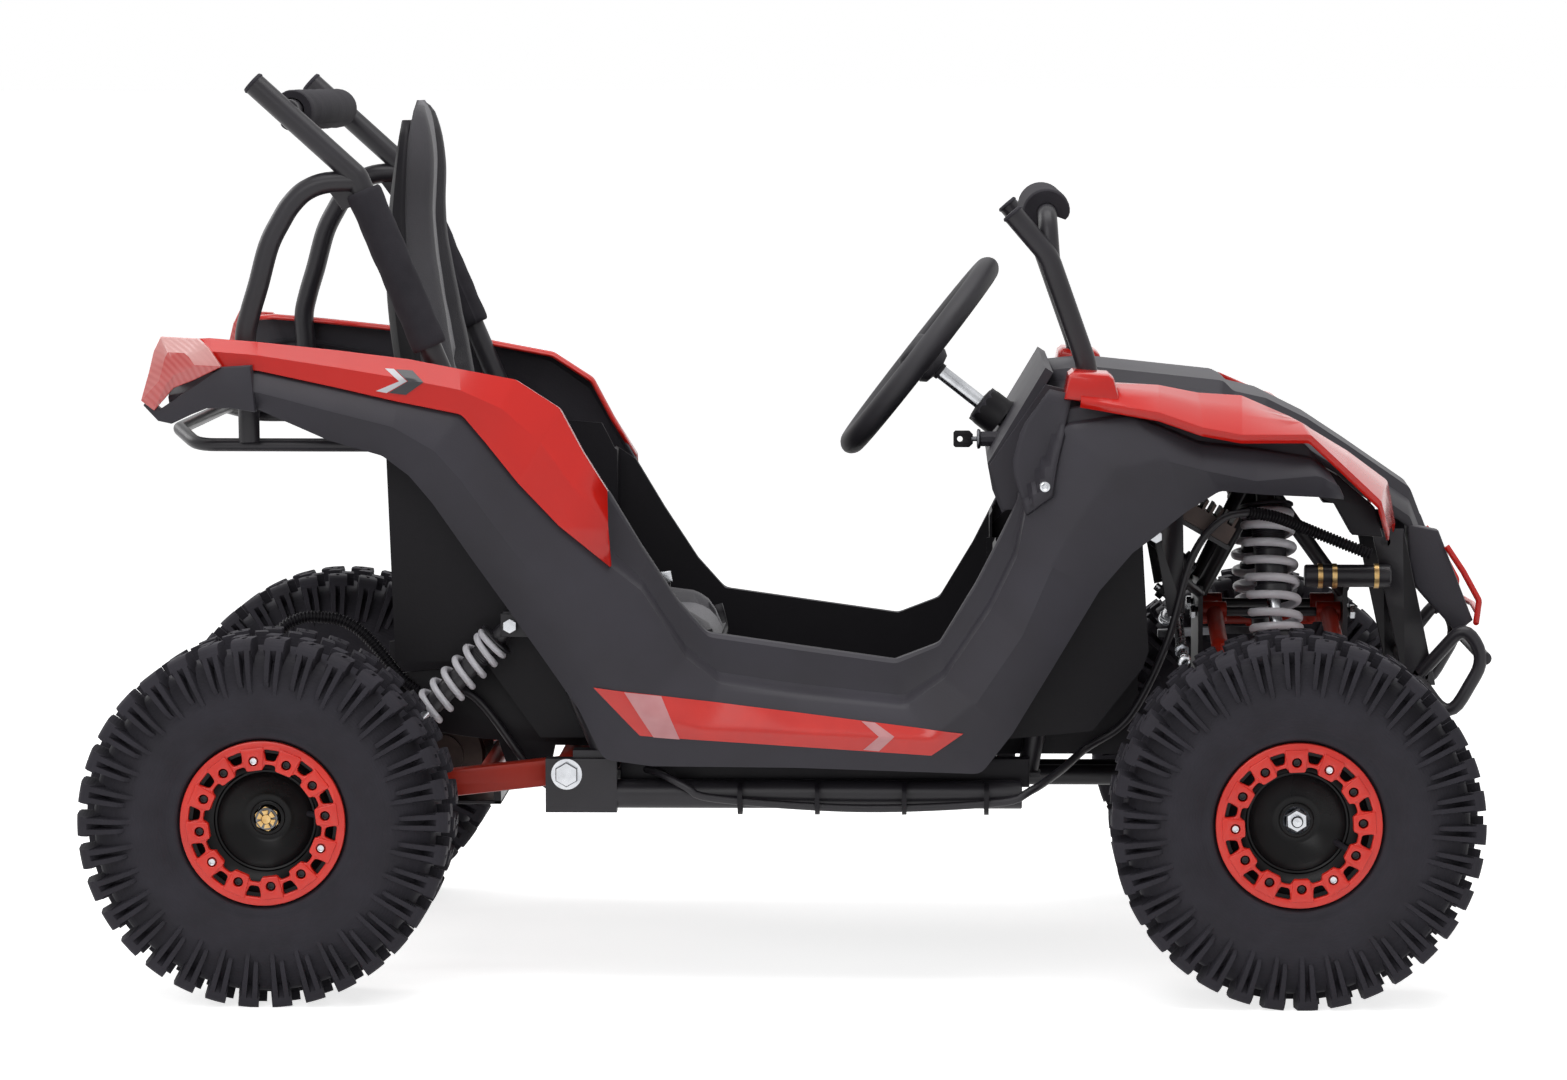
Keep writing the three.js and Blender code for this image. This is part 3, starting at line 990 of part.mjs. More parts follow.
const makeSpindle = () => {
  const y = upright.kingpin_y;
  const end = half_track + rim.half / 4 + clearance;
  const barrel = rod([front_x, y, upright.low], [front_x, y, upright.high], upright.sleeve, 8);
  const stub = rod([front_x, y, axle_z], [front_x, end + 10, axle_z], stub_r, 12);
  const nut = rod([front_x, end + clearance, axle_z], [front_x, end + 8, axle_z], stub_r + 4, 6);
  const tip_x = front_x - steer_arm;
  const lever = deck([[front_x, y - 6], [front_x, y + 8], [front_x - 42, y + 14], [tip_x - 9, arm_out + 7], [tip_x - 9, arm_out - 7],
    [tip_x + 6, arm_out - 9], [front_x - 40, y]], upright.high - 12, upright.high - 4);
  const bore = rod([front_x, y, upright.low - 5], [front_x, y, upright.high + 5], upright.pin + 2 * running, 8);
  return cut(join(barrel, stub, nut, lever), bore);
};
const ball = 8;
const tie_slope = arm.drop / (arm_out - arm.pivot_y);
const tie = { x: front_x - steer_arm, z: upright.high + running + ball, r: 5.5, inner_y: 12 };
const makeTieRod = () => {
  const inner_z = tie.z + (arm_out - tie.inner_y) * tie_slope;
  return join(
    new THREE.SphereGeometry(ball, 6, 4).rotateY(Math.PI / 2).translate(tie.x, arm_out, tie.z),
    new THREE.SphereGeometry(ball, 6, 4).rotateY(Math.PI / 2).translate(tie.x, tie.inner_y, inner_z),
    rod([tie.x, arm_out, tie.z], [tie.x, tie.inner_y, inner_z], tie.r),
  );
};
for (const [name, side] of sides) {
  add(`upper_arm_${name}`, sided(upper_arm, side), looks.arm);
  add(`lower_arm_${name}`, sided(lower_arm, side), looks.arm);
  add(`upright_${name}`, sided(makeUpright(), side), looks.black);
  add(`spindle_${name}`, sided(makeSpindle(), side), looks.steel);
  add(`tie_rod_${name}`, sided(makeTieRod(), side), looks.steel);
}

// Wiring loom: one filled conduit from the nose, past the controller and along the right rail to the rear arch
const loom = { r: 4, rib: 6.5, groove: 5, pitch: 13, sides: 8 };
const loom_front = [[600, -147, 440], [575, -149, 450], [536, -156, 466], [500, -173, 481], [470, -184, 487]];
const loom_middle = [[440, -196, 480], [410, -198, 440], [384, -198, 350], [345, -194, 272], [300, -200, 240], [272, -246, 222],
  [240, -288, 206], [205, -290, 194], [63, -290, 188], [-86, -290, 198], [-116, -289, 210], [-146, -272, 223],
  [-178, -228, 223], [-206, -205, 219], [-219.5, -205, 200], [-234, -205, 194], [-258, -205, 196], [-285, -205, 220], [-345, -205, 296],
  [-400, -205, 298]];
const loom_rear = [[-419, -205, 314], [-440, -203, 340], [-461, -202, 362], [-482, -201, 374], [-503, -200, 377],
  [-524, -200, 376], [-545, -200, 364], [-556, -200, 338]];
const ribbed = (points) => {
  const path = new THREE.CatmullRomCurve3(points.map((p) => new THREE.Vector3(...p)));
  const count = Math.round(path.getLength() / loom.pitch);
  const stops = [];
  for (let i = 0; i <= 2 * count; i += 1) {
    const r = i === 0 || i === 2 * count ? loom.r : [loom.groove, loom.rib][i % 2];
    stops.push([path.getPointAt(i / (2 * count)), r]);
  }
  return stops;
};
const makeLoom = () => {
  const stops = [...ribbed(loom_front), ...loom_middle.map((p) => [new THREE.Vector3(...p), loom.r]), ...ribbed(loom_rear)];
  const up = new THREE.Vector3(0, 1, 0);
  let across = null;
  const rings = stops.map(([here, r], i) => {
    const way = stops[Math.min(i + 1, stops.length - 1)][0].clone().sub(stops[Math.max(i - 1, 0)][0]).normalize();
    const start = across || up.clone().cross(way);
    across = start.clone().addScaledVector(way, -start.dot(way)).normalize();
    const other = way.clone().cross(across);
    return circle(r, loom.sides).map(([a, b]) => here.clone().addScaledVector(across, a).addScaledVector(other, b).toArray());
  });
  return loft(rings);
};
add('wiring_loom', makeLoom(), looks.black);

export default kart;
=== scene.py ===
import math

import bmesh
import bpy
from mathutils import Matrix, Vector
from mathutils.bvhtree import BVHTree


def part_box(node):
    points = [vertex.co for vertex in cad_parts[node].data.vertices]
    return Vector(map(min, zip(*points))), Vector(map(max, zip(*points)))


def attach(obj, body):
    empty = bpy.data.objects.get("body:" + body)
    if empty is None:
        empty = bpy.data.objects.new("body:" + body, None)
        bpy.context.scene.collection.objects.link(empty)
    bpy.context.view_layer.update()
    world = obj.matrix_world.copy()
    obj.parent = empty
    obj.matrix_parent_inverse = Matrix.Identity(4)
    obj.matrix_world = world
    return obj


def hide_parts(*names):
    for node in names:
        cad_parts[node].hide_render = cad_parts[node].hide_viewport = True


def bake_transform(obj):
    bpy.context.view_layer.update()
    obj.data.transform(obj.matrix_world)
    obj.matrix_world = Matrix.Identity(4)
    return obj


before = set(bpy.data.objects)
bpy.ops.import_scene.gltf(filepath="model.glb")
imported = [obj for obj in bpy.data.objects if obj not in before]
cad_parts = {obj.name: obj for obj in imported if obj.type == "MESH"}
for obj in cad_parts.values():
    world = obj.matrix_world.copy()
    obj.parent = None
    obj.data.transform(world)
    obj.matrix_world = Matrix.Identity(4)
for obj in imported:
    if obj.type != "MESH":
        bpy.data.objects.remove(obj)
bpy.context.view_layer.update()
mm = 0.001
SIDES = (("right", -1), ("left", 1))
scene = bpy.context.scene

# Camera at the photograph's angle: level with the top of the seat, six metres to the right
camera = bpy.data.objects.new("camera", bpy.data.cameras.new("camera"))
scene.collection.objects.link(camera)
camera.data.lens = 126.6
camera.data.sensor_width = 36
yaw, pitch, roll = math.radians(1.596), math.radians(4.795), math.radians(-0.075)
camera.matrix_world = (
    Matrix.Translation((0.1431, -5.9482, 0.9413))
    @ Matrix.Rotation(yaw, 4, "Z")
    @ Matrix.Rotation(math.pi / 2 - pitch, 4, "X")
    @ Matrix.Rotation(roll, 4, "Z")
)
scene.camera = camera
scene.view_settings.view_transform = "Standard"


# ---------------------------------------------------------------- colours and nodes
def linear(code):
    """sRGB hex to linear light."""
    parts = [int(code[i : i + 2], 16) / 255 for i in (1, 3, 5)]
    return tuple(v / 12.92 if v <= 0.04045 else ((v + 0.055) / 1.055) ** 2.4 for v in parts) + (1.0,)


def add_node(tree, kind, settings=None, links=None):
    """One shader node with its settings; links are input name: (node, output name)."""
    node = tree.nodes.new(kind)
    for key, value in (settings or {}).items():
        if isinstance(key, str) and hasattr(node, key):
            setattr(node, key, value)
        else:
            node.inputs[key].default_value = value
    for key, (source, output) in (links or {}).items():
        tree.links.new(source.outputs[output], node.inputs[key])
    return node


def new_material(name, base, roughness, metallic=0.0, **sockets):
    made = bpy.data.materials.new(name)
    made.use_nodes = True
    tree = made.node_tree
    shader = tree.nodes["Principled BSDF"]
    shader.inputs["Base Color"].default_value = linear(base)
    shader.inputs["Roughness"].default_value = roughness
    shader.inputs["Metallic"].default_value = metallic
    for key, value in sockets.items():
        shader.inputs[key.replace("_", " ")].default_value = value
    return made, tree, shader


def mottle(tree, shader, dark, light, size, rough=None, grain=0.0, depth=0.0):
    """Slow drift of colour and roughness, and a fine grain; sizes in millimetres."""
    place = add_node(tree, "ShaderNodeTexCoord")
    drift = add_node(tree, "ShaderNodeTexNoise", {"Scale": 1000 / size, "Detail": 3.0}, {"Vector": (place, "Object")})
    ramp = add_node(tree, "ShaderNodeValToRGB", {}, {"Fac": (drift, "Fac")})
    ramp.color_ramp.elements[0].position = 0.3
    ramp.color_ramp.elements[1].position = 0.7
    ramp.color_ramp.elements[0].color = linear(dark)
    ramp.color_ramp.elements[1].color = linear(light)
    tree.links.new(ramp.outputs["Color"], shader.inputs["Base Color"])
    if rough:
        settings = {"To Min": rough[0], "To Max": rough[1]}
        spread = add_node(tree, "ShaderNodeMapRange", settings, {"Value": (drift, "Fac")})
        tree.links.new(spread.outputs["Result"], shader.inputs["Roughness"])
    if grain:
        fine = add_node(tree, "ShaderNodeTexNoise", {"Scale": 1000 / grain, "Detail": 2.0}, {"Vector": (place, "Object")})
        raise_surface(tree, shader, (fine, "Fac"), depth)
    return place


def raise_surface(tree, shader, height, depth):
    bump = add_node(tree, "ShaderNodeBump", {"Strength": 1.0, "Distance": depth * mm}, {"Height": height})
    tree.links.new(bump.outputs["Normal"], shader.inputs["Normal"])


# ---------------------------------------------------------------- materials
def plain(name, base, roughness, drift, metallic=0.0, **sockets):
    """A material whose only pattern is the one of mottle; drift holds the values for it."""
    made, tree, shader = new_material(name, base, roughness, metallic, **sockets)
    mottle(tree, shader, *drift)
    return made


def vulcanised_rubber():
    """Vulcanised rubber: matt dark grey, with the turned rings of the mould on the walls, 3.2 mm apart."""
    made, tree, shader = new_material("vulcanised_rubber", "#2E2C33", 0.72, Specular_IOR_Level=0.25)
    place = mottle(tree, shader, "#28262C", "#343239", 35, (0.62, 0.8))
    split = add_node(tree, "ShaderNodeSeparateXYZ", {}, {"Vector": (place, "Object")})
    flat = add_node(tree, "ShaderNodeCombineXYZ", {}, {"X": (split, "X"), "Z": (split, "Z")})
    reach = add_node(tree, "ShaderNodeVectorMath", {"operation": "LENGTH"}, {"Vector": (flat, "Vector")})
    settings = {"operation": "MULTIPLY", 1: 2 * math.pi / (3.2 * mm)}
    turn = add_node(tree, "ShaderNodeMath", settings, {0: (reach, "Value")})
    rings = add_node(tree, "ShaderNodeMath", {"operation": "SINE"}, {0: (turn, "Value")})
    settings = {"Scale": 1000 / 1.5, "Detail": 2.0}
    fine = add_node(tree, "ShaderNodeTexNoise", settings, {"Vector": (place, "Object")})
    settings = {"operation": "MULTIPLY_ADD", 1: 0.25}
    height = add_node(tree, "ShaderNodeMath", settings, {0: (rings, "Value"), 2: (fine, "Fac")})
    raise_surface(tree, shader, (height, "Value"), 0.16)
    return made


def nitrile_foam():
    """Closed cell foam: dead black skin, finely pitted and softly creased; pits drawn 2 mm wide to show."""
    made, tree, shader = new_material("nitrile_foam", "#2A282D", 0.85, Specular_IOR_Level=0.2)
    place = mottle(tree, shader, "#29272C", "#363439", 40, (0.78, 0.92))
    cells = add_node(tree, "ShaderNodeTexVoronoi", {"Scale": 1000 / 2.2}, {"Vector": (place, "Object")})
    settings = {"Scale": 1000 / 28, "Detail": 2.0, "Distortion": 0.6}
    folds = add_node(tree, "ShaderNodeTexNoise", settings, {"Vector": (place, "Object")})
    settings = {"operation": "MULTIPLY_ADD", 1: 0.12}
    height = add_node(tree, "ShaderNodeMath", settings, {0: (cells, "Distance"), 2: (folds, "Fac")})
    raise_surface(tree, shader, (height, "Value"), 0.8)
    return made


def embossed_vinyl(name, dark, light):
    """Upholstery vinyl: embossed leather grain, drawn 2.4 mm wide so that it shows."""
    made, tree, shader = new_material(name, light, 0.52, IOR=1.48, Sheen_Weight=0.1)
    place = mottle(tree, shader, dark, light, 60, (0.46, 0.6))
    settings = {"Scale": 1000 / 2.4, "feature": "DISTANCE_TO_EDGE"}
    cells = add_node(tree, "ShaderNodeTexVoronoi", settings, {"Vector": (place, "Object")})
    cut = add_node(tree, "ShaderNodeMath", {"operation": "MINIMUM", 1: 0.12}, {0: (cells, "Distance")})
    raise_surface(tree, shader, (cut, "Value"), 0.9)
    return made


def red_polycarbonate():
    """Red polycarbonate lens: moulded prisms 4 mm apart behind the skin, with a painted reflection: facets that look up
    are painted paler.
    """
    sockets = {"IOR": 1.585, "Coat_Weight": 0.6, "Coat_Roughness": 0.04}
    made, tree, shader = new_material("red_polycarbonate", "#E84A48", 0.12, **sockets)
    place = add_node(tree, "ShaderNodeTexCoord")
    settings = {"Scale": 2 * math.pi * 1000 / 4 / 20, "bands_direction": "DIAGONAL"}
    prisms = add_node(tree, "ShaderNodeTexWave", settings, {"Vector": (place, "Object")})
    ramp = add_node(tree, "ShaderNodeValToRGB", {}, {"Fac": (prisms, "Fac")})
    ramp.color_ramp.elements[0].color = linear("#D4403C")
    ramp.color_ramp.elements[1].color = linear("#DE5E5A")
    # Painted reflection: facets whose normal points up are mixed towards a pale pink that stands in for the overhead
    # lamp's reflection
    facing = add_node(tree, "ShaderNodeSeparateXYZ", {}, {"Vector": (place, "Normal")})
    above = add_node(tree, "ShaderNodeMapRange", {"From Min": 0.08, "From Max": 0.22}, {"Value": (facing, "Z")})
    painted_reflection = add_node(tree, "ShaderNodeMix", {"data_type": "RGBA"}, {})
    tree.links.new(above.outputs["Result"], painted_reflection.inputs["Factor"])
    tree.links.new(ramp.outputs["Color"], painted_reflection.inputs["A"])
    painted_reflection.inputs["B"].default_value = linear("#F3B4B0")
    tree.links.new(painted_reflection.outputs["Result"], shader.inputs["Base Color"])
    raise_surface(tree, shader, (prisms, "Fac"), 0.12)
    return made


def cast_film(name, dark, light):
    """Printed vinyl film stuck on the panel: thin, glossy, slightly uneven."""
    sockets = {"IOR": 1.46, "Coat_Weight": 0.3, "Coat_Roughness": 0.08}
    return plain(name, light, 0.22, (dark, light, 40, (0.18, 0.28), 5.0, 0.03), **sockets)


# Injection moulded polypropylene: a spark eroded grain makes it an even, soft charcoal
drift = ("#363439", "#3D3B42", 90, (0.46, 0.56), 2.2, 0.1)
PANEL = plain("textured_polypropylene", "#3A383F", 0.52, drift, Specular_IOR_Level=0.25)
# Blow moulded polyethylene: near black, a little waxy
drift = ("#121014", "#19171C", 120, (0.44, 0.54), 3.0, 0.1)
TUB = plain("blow_moulded_polyethylene", "#151318", 0.5, drift, Specular_IOR_Level=0.2)
# ABS coloured through and moulded in a polished tool: sharp reflections on a flat red
drift = ("#D41E16", "#E0241B", 160, (0.14, 0.2), 6.0, 0.02)
polish = {"Specular_IOR_Level": 0.32, "Coat_Weight": 0.14, "Coat_Roughness": 0.06}
RED = plain("glossy_red_abs", "#DC2118", 0.2, drift, **polish)
# Powder coat on steel tube: satin black with a faint orange peel
drift = ("#242226", "#2D2B30", 70, (0.32, 0.42), 2.5, 0.05)
TUBE = plain("black_powder_coat", "#28262B", 0.38, drift, Specular_IOR_Level=0.35)
# Red powder coat on the arms, a darker and duller red than the glossy bodywork
drift = ("#9C2414", "#B42E1C", 60, (0.3, 0.45), 2.5, 0.05)
ARM = plain("red_powder_coat", "#A82818", 0.4, drift, Specular_IOR_Level=0.3)
# Orange red lacquer on a light alloy casting: satin, with softened edges
drift = ("#E22617", "#F23220", 50, (0.3, 0.4), 2.0, 0.04)
RING = plain("lacquered_casting", "#EC2A1A", 0.34, drift, Coat_Weight=0.25, Coat_Roughness=0.2)
# Baked enamel on the pressed disc: deep black that mirrors softly
drift = ("#080709", "#0E0D0F", 60, (0.22, 0.34))
DISH = plain("black_enamel", "#0A090B", 0.28, drift, Specular_IOR_Level=0.18)
RUBBER = vulcanised_rubber()
# Light grey epoxy on the coil springs: smooth, a little uneven
SPRING = plain("grey_epoxy_coat", "#DDDBE1", 0.36, ("#E0DEE4", "#F2F0F6", 30, (0.3, 0.42), 1.5, 0.04))
# Zinc plate on bolts, rods and shafts: pale, a little cloudy
ZINC = plain("bright_zinc_plate", "#C3C5C9", 0.26, ("#B4B6BA", "#CFD1D5", 12, (0.18, 0.34), 0.8, 0.02), 1.0)
# Yellow passivated zinc on the castle nuts: a warm metal
NUT = plain("yellow_zinc_plate", "#C9A66B", 0.35, ("#B8925A", "#D6B780", 6, (0.28, 0.42), 0.8, 0.02), 1.0)
# Oiled steel of chain, sprockets and brake disc: dark, with a wet look in patches
STEEL = plain("oiled_steel", "#6E6F73", 0.4, ("#5A5B5F", "#7C7D81", 15, (0.32, 0.5), 1.0, 0.02), 1.0)
FOAM = nitrile_foam()
SEAT_DARK = embossed_vinyl("black_vinyl", "#2A282D", "#353339")
SEAT_LIGHT = embossed_vinyl("grey_vinyl", "#48464C", "#545258")
LENS = red_polycarbonate()
FILM_WHITE = cast_film("white_film", "#CFCDD2", "#DEDCE1")
FILM_DARK = cast_film("dark_film", "#2A282D", "#343238")
FILM_RED = cast_film("red_film", "#D2221A", "#DE2A1F")
FILM_PINK = cast_film("dusty_pink_film", "#CC8488", "#DC9EA0")
# Soft moulded rubber of the steering wheel's rim: matt, finely grained
GRIP = plain("moulded_grip_rubber", "#242227", 0.6, ("#201E23", "#2A282D", 40, (0.52, 0.66), 1.8, 0.1), IOR=1.5)
# Anodised aluminium extrusion of controller and motor: brownish black
FIN = plain("dark_anodised_aluminium", "#3A302E", 0.42, ("#332A28", "#463A36", 20, (0.36, 0.5), 1.0, 0.02), 0.6)


# ---------------------------------------------------------------- mesh tools, in millimetres
AHEAD, OUT = (1, 0, 0), (0, 1, 0)
# Turns a plate drawn in X and Y upright: its Y becomes Z
UPRIGHT = Matrix(((1, 0, 0, 0), (0, 0, -1, 0), (0, 1, 0, 0), (0, 0, 0, 1)))


def mesh_of(name, part, look):
    """A mesh from (points, faces), its faces turned outward."""
    points, faces = part
    data = bpy.data.meshes.new(name)
    data.from_pydata([tuple(Vector(p) * mm) for p in points], [], faces)
    data.validate()
    work = bmesh.new()
    work.from_mesh(data)
    bmesh.ops.recalc_face_normals(work, faces=work.faces)
    work.to_mesh(data)
    work.free()
    for each in look if isinstance(look, list) else [look]:
        data.materials.append(each)
    return data


def piece(name, part, look, body="frame", replaces=(), smooth=35, bevel=0.0, segments=2):
    """A mesh that rides on a body and stands for the CAD nodes in replaces; with body None it rides on no body."""
    made = bpy.data.objects.new(name, mesh_of(name, part, look))
    scene.collection.objects.link(made)
    dress(made, smooth, bevel, segments)
    if body:
        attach(made, body)
    if replaces:
        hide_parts(*replaces)
    return made


def break_edges(made, width, segments, limit):
    """Rounds every edge sharper than limit degrees."""
    rounding = made.modifiers.new("rounding", "BEVEL")
    rounding.width = width * mm
    rounding.segments = segments
    rounding.limit_method = "ANGLE"
    rounding.angle_limit = math.radians(limit)


def dress(made, smooth=35, bevel=0.0, segments=2):
    """Broken edges and smooth shading."""
    if bevel:
        break_edges(made, bevel, segments, 25)
    made.data.polygons.foreach_set("use_smooth", [True] * len(made.data.polygons))
    made.data.set_sharp_from_angle(angle=math.radians(smooth))


def walled(made, thick, offset=-1):
    """Gives a skin its wall; with offset -1 the skin stays the outer face."""
    wall = made.modifiers.new("wall", "SOLIDIFY")
    wall.thickness = thick * mm
    wall.offset = offset
    return made


def joined(*parts):
    points, faces = [], []
    for more_points, more_faces in parts:
        shift = len(points)
        points += list(more_points)
        faces += [tuple(i + shift for i in face) for face in more_faces]
    return points, faces


def moved(part, matrix):
    return [matrix @ Vector(p) for p in part[0]], part[1]


def sided(part, side):
    """Parts are drawn for the left side; side -1 mirrors one to the right."""
    if side > 0:
        return part
    return [Vector((p[0], -p[1], p[2])) for p in part[0]], [tuple(reversed(face)) for face in part[1]]


def both(part):
    return joined(part, sided(part, -1))


def block(low, high):
    pairs = list(zip(low, high))
    points = [Vector((x, y, z)) for x in pairs[0] for y in pairs[1] for z in pairs[2]]
    return points, [(0, 1, 3, 2), (4, 6, 7, 5), (0, 4, 5, 1), (2, 3, 7, 6), (0, 2, 6, 4), (1, 5, 7, 3)]


def grid(rows, around=False):
    """Points in rows with the same count, joined by quads; around closes each row on itself."""
    count = len(rows[0])
    points = [Vector(p) for row in rows for p in row]
    faces = []
    for i in range(len(rows) - 1):
        for j in range(count if around else count - 1):
            a, b = i * count + j, i * count + (j + 1) % count
            faces.append((a, b, b + count, a + count))
    return points, faces


def capped(rows):
    """Closed rings joined into a tube with flat ends."""
    points, faces = grid(rows, around=True)
    count = len(rows[0])
    faces.append(tuple(reversed(range(count))))
    faces.append(tuple(range(len(points) - count, len(points))))
    return points, faces


def looped(rows, around=True):
    """Rows joined by quads, the last one to the first as well."""
    points, faces = grid(rows + [rows[0]], around)
    last = len(points) - len(rows[0])
    return points[:last], [tuple(i - last if i >= last else i for i in face) for face in faces]


def ring(radius, rise, steps, start=0.0):
    turns = [start + 2 * math.pi * i / steps for i in range(steps)]
    return [Vector((radius * math.cos(t), radius * math.sin(t), rise)) for t in turns]


def along_axis(start, axis):
    return Matrix.Translation(Vector(start)) @ Vector((0, 0, 1)).rotation_difference(Vector(axis)).to_matrix().to_4x4()


def turned(profile, steps=48, start=(0, 0, 0), axis=(0, 0, 1)):
    """A closed profile of (radius, along) turned round an axis through start."""
    return moved(looped([ring(r, rise, steps) for r, rise in profile]), along_axis(start, axis))


def peg(start, end, radius, steps=24, chamfer=0.6):
    """A round bar with broken edges."""
    start, end = Vector(start), Vector(end)
    long = (end - start).length
    c = min(chamfer, radius / 3, long / 3)
    rings = [(radius - c, 0), (radius, c), (radius, long - c), (radius - c, long)]
    return moved(capped([ring(r, rise, steps) for r, rise in rings]), along_axis(start, end - start))


def rounded(corners, bend, steps=6):
    """A route whose inner corners become bends."""
    corners = [Vector(c) for c in corners]
    route = [corners[0]]
    for before, here, after in zip(corners, corners[1:], corners[2:]):
        a, b = before - here, after - here
        reach = min(bend / max(math.tan(a.angle(b) / 2), 1e-3), a.length * 0.48, b.length * 0.48)
        start, end = here + a.normalized() * reach, here + b.normalized() * reach
        for i in range(steps + 1):
            t = i / steps
            route.append(start * (1 - t) ** 2 + here * 2 * t * (1 - t) + end * t**2)
    route.append(corners[-1])
    return route


def swept(route, section, steps=20):
    """A tube along a route; section is one radius, or one for each point."""
    route = [Vector(p) for p in route]
    count = len(route)
    ways = [(route[min(i + 1, count - 1)] - route[max(i - 1, 0)]).normalized() for i in range(count)]
    across = ways[0].orthogonal().normalized()
    rows = []
    for i in range(count):
        across = (across - ways[i] * across.dot(ways[i])).normalized()
        other = ways[i].cross(across)
        r = section[i] if isinstance(section, list) else section
        turns = [2 * math.pi * j / steps for j in range(steps)]
        rows.append([route[i] + (across * math.cos(t) + other * math.sin(t)) * r for t in turns])
    return capped(rows)


def tube(corners, radius, bend=None, steps=20):
    return swept(rounded(corners, bend or 3 * radius), radius, steps)


def plate(loops, thick, place=None, bevel=0.6):
    """A flat plate from closed loops in X and Y, the first outside and the rest holes, with rounded edges."""
    curve = bpy.data.curves.new("outline", "CURVE")
    curve.dimensions = "2D"
    curve.fill_mode = "BOTH"
    curve.extrude = thick / 2 - bevel
    curve.bevel_depth = bevel
    curve.offset = -bevel
    curve.bevel_resolution = 1
    for loop in loops:
        spline = curve.splines.new("POLY")
        spline.points.add(len(loop) - 1)
        for point, (x, y) in zip(spline.points, loop):
            point.co = (x, y, 0, 1)
        spline.use_cyclic_u = True
    holder = bpy.data.objects.new("outline", curve)
    data = bpy.data.meshes.new_from_object(holder)
    work = bmesh.new()
    work.from_mesh(data)
    bmesh.ops.remove_doubles(work, verts=work.verts, dist=1e-3)
    work.verts.index_update()
    made = [v.co.copy() for v in work.verts], [tuple(v.index for v in face.verts) for face in work.faces]
    work.free()
    bpy.data.objects.remove(holder)
    bpy.data.curves.remove(curve)
    bpy.data.meshes.remove(data)
    return moved(made, place) if place is not None else made


def circle(radius, count, x=0.0, y=0.0):
    turns = [2 * math.pi * i / count for i in range(count)]
    return [(x + radius * math.cos(t), y + radius * math.sin(t)) for t in turns]


def side_plate(loop, y0, y1, bevel=0.6, holes=()):
    """A plate whose outline is in X and Z, between two values of Y."""
    return plate([loop, *holes], abs(y1 - y0), Matrix.Translation((0, (y0 + y1) / 2, 0)) @ UPRIGHT, bevel)


def eased(points, cuts):
    """A line through points, rounded between them."""
    points = [Vector(p) for p in points]
    line = []
    for i in range(len(points) - 1):
        a, b = points[max(i - 1, 0)], points[i]
        c, d = points[i + 1], points[min(i + 2, len(points) - 1)]
        square, cube = a * 2 - b * 5 + c * 4 - d, b * 3 - a - c * 3 + d
        for j in range(cuts):
            t = j / cuts
            line.append(((b * 2) + (c - a) * t + square * t * t + cube * t**3) / 2)
    line.append(points[-1])
    return line


def skin_of(target, side):
    """Tells how far out, in Y, a piece's skin lies at (x, z); None where it has none."""
    data = target.data
    tree = BVHTree.FromPolygons([v.co for v in data.vertices], [tuple(p.vertices) for p in data.polygons])

    def reach(x, z):
        hit = tree.ray_cast(Vector((x * mm, side * 0.6, z * mm)), Vector((0, -side, 0)))[0]
        return hit.y / mm if hit else None

    return reach


def film(name, corners, look, target, side, cuts=(24, 6), lift=0.7):
    """A 0.5 mm film between four corners in X and Z, laid on a piece from outside; off the skin it lies at y 300."""
    reach = skin_of(target, side)
    a, b, c, d = [Vector((x, z)) for x, z in corners]
    rows = []
    for i in range(cuts[0] + 1):
        u = i / cuts[0]
        row = []
        for j in range(cuts[1] + 1):
            v = j / cuts[1]
            spot = (a * (1 - u) + b * u) * (1 - v) + (d * (1 - u) + c * u) * v
            y = reach(spot.x, spot.y)
            row.append(Vector((spot.x, (side * 300 if y is None else y) + side * lift, spot.y)))
        rows.append(row)
    outer = grid(rows)
    back = [Vector((p.x, p.y - side * 0.5, p.z)) for p in outer[0]]
    n, m = cuts[1] + 1, len(rows)
    faces = list(outer[1]) + [tuple(len(back) + i for i in reversed(face)) for face in outer[1]]
    rim = [i for i in range(n)] + [r * n + n - 1 for r in range(1, m)]
    rim += [(m - 1) * n + i for i in range(n - 2, -1, -1)] + [r * n for r in range(m - 2, 0, -1)]
    for i, j in zip(rim, rim[1:] + rim[:1]):
        faces.append((i, i + len(back), j + len(back), j))
    return piece(name, (outer[0] + back, faces), look, smooth=30)


# ---------------------------------------------------------------- wheels
REAR_X, FRONT_X, AXLE_Z, HALF_TRACK = -540.5, 509.5, 187.75, 355
LUG_PITCHES = 34
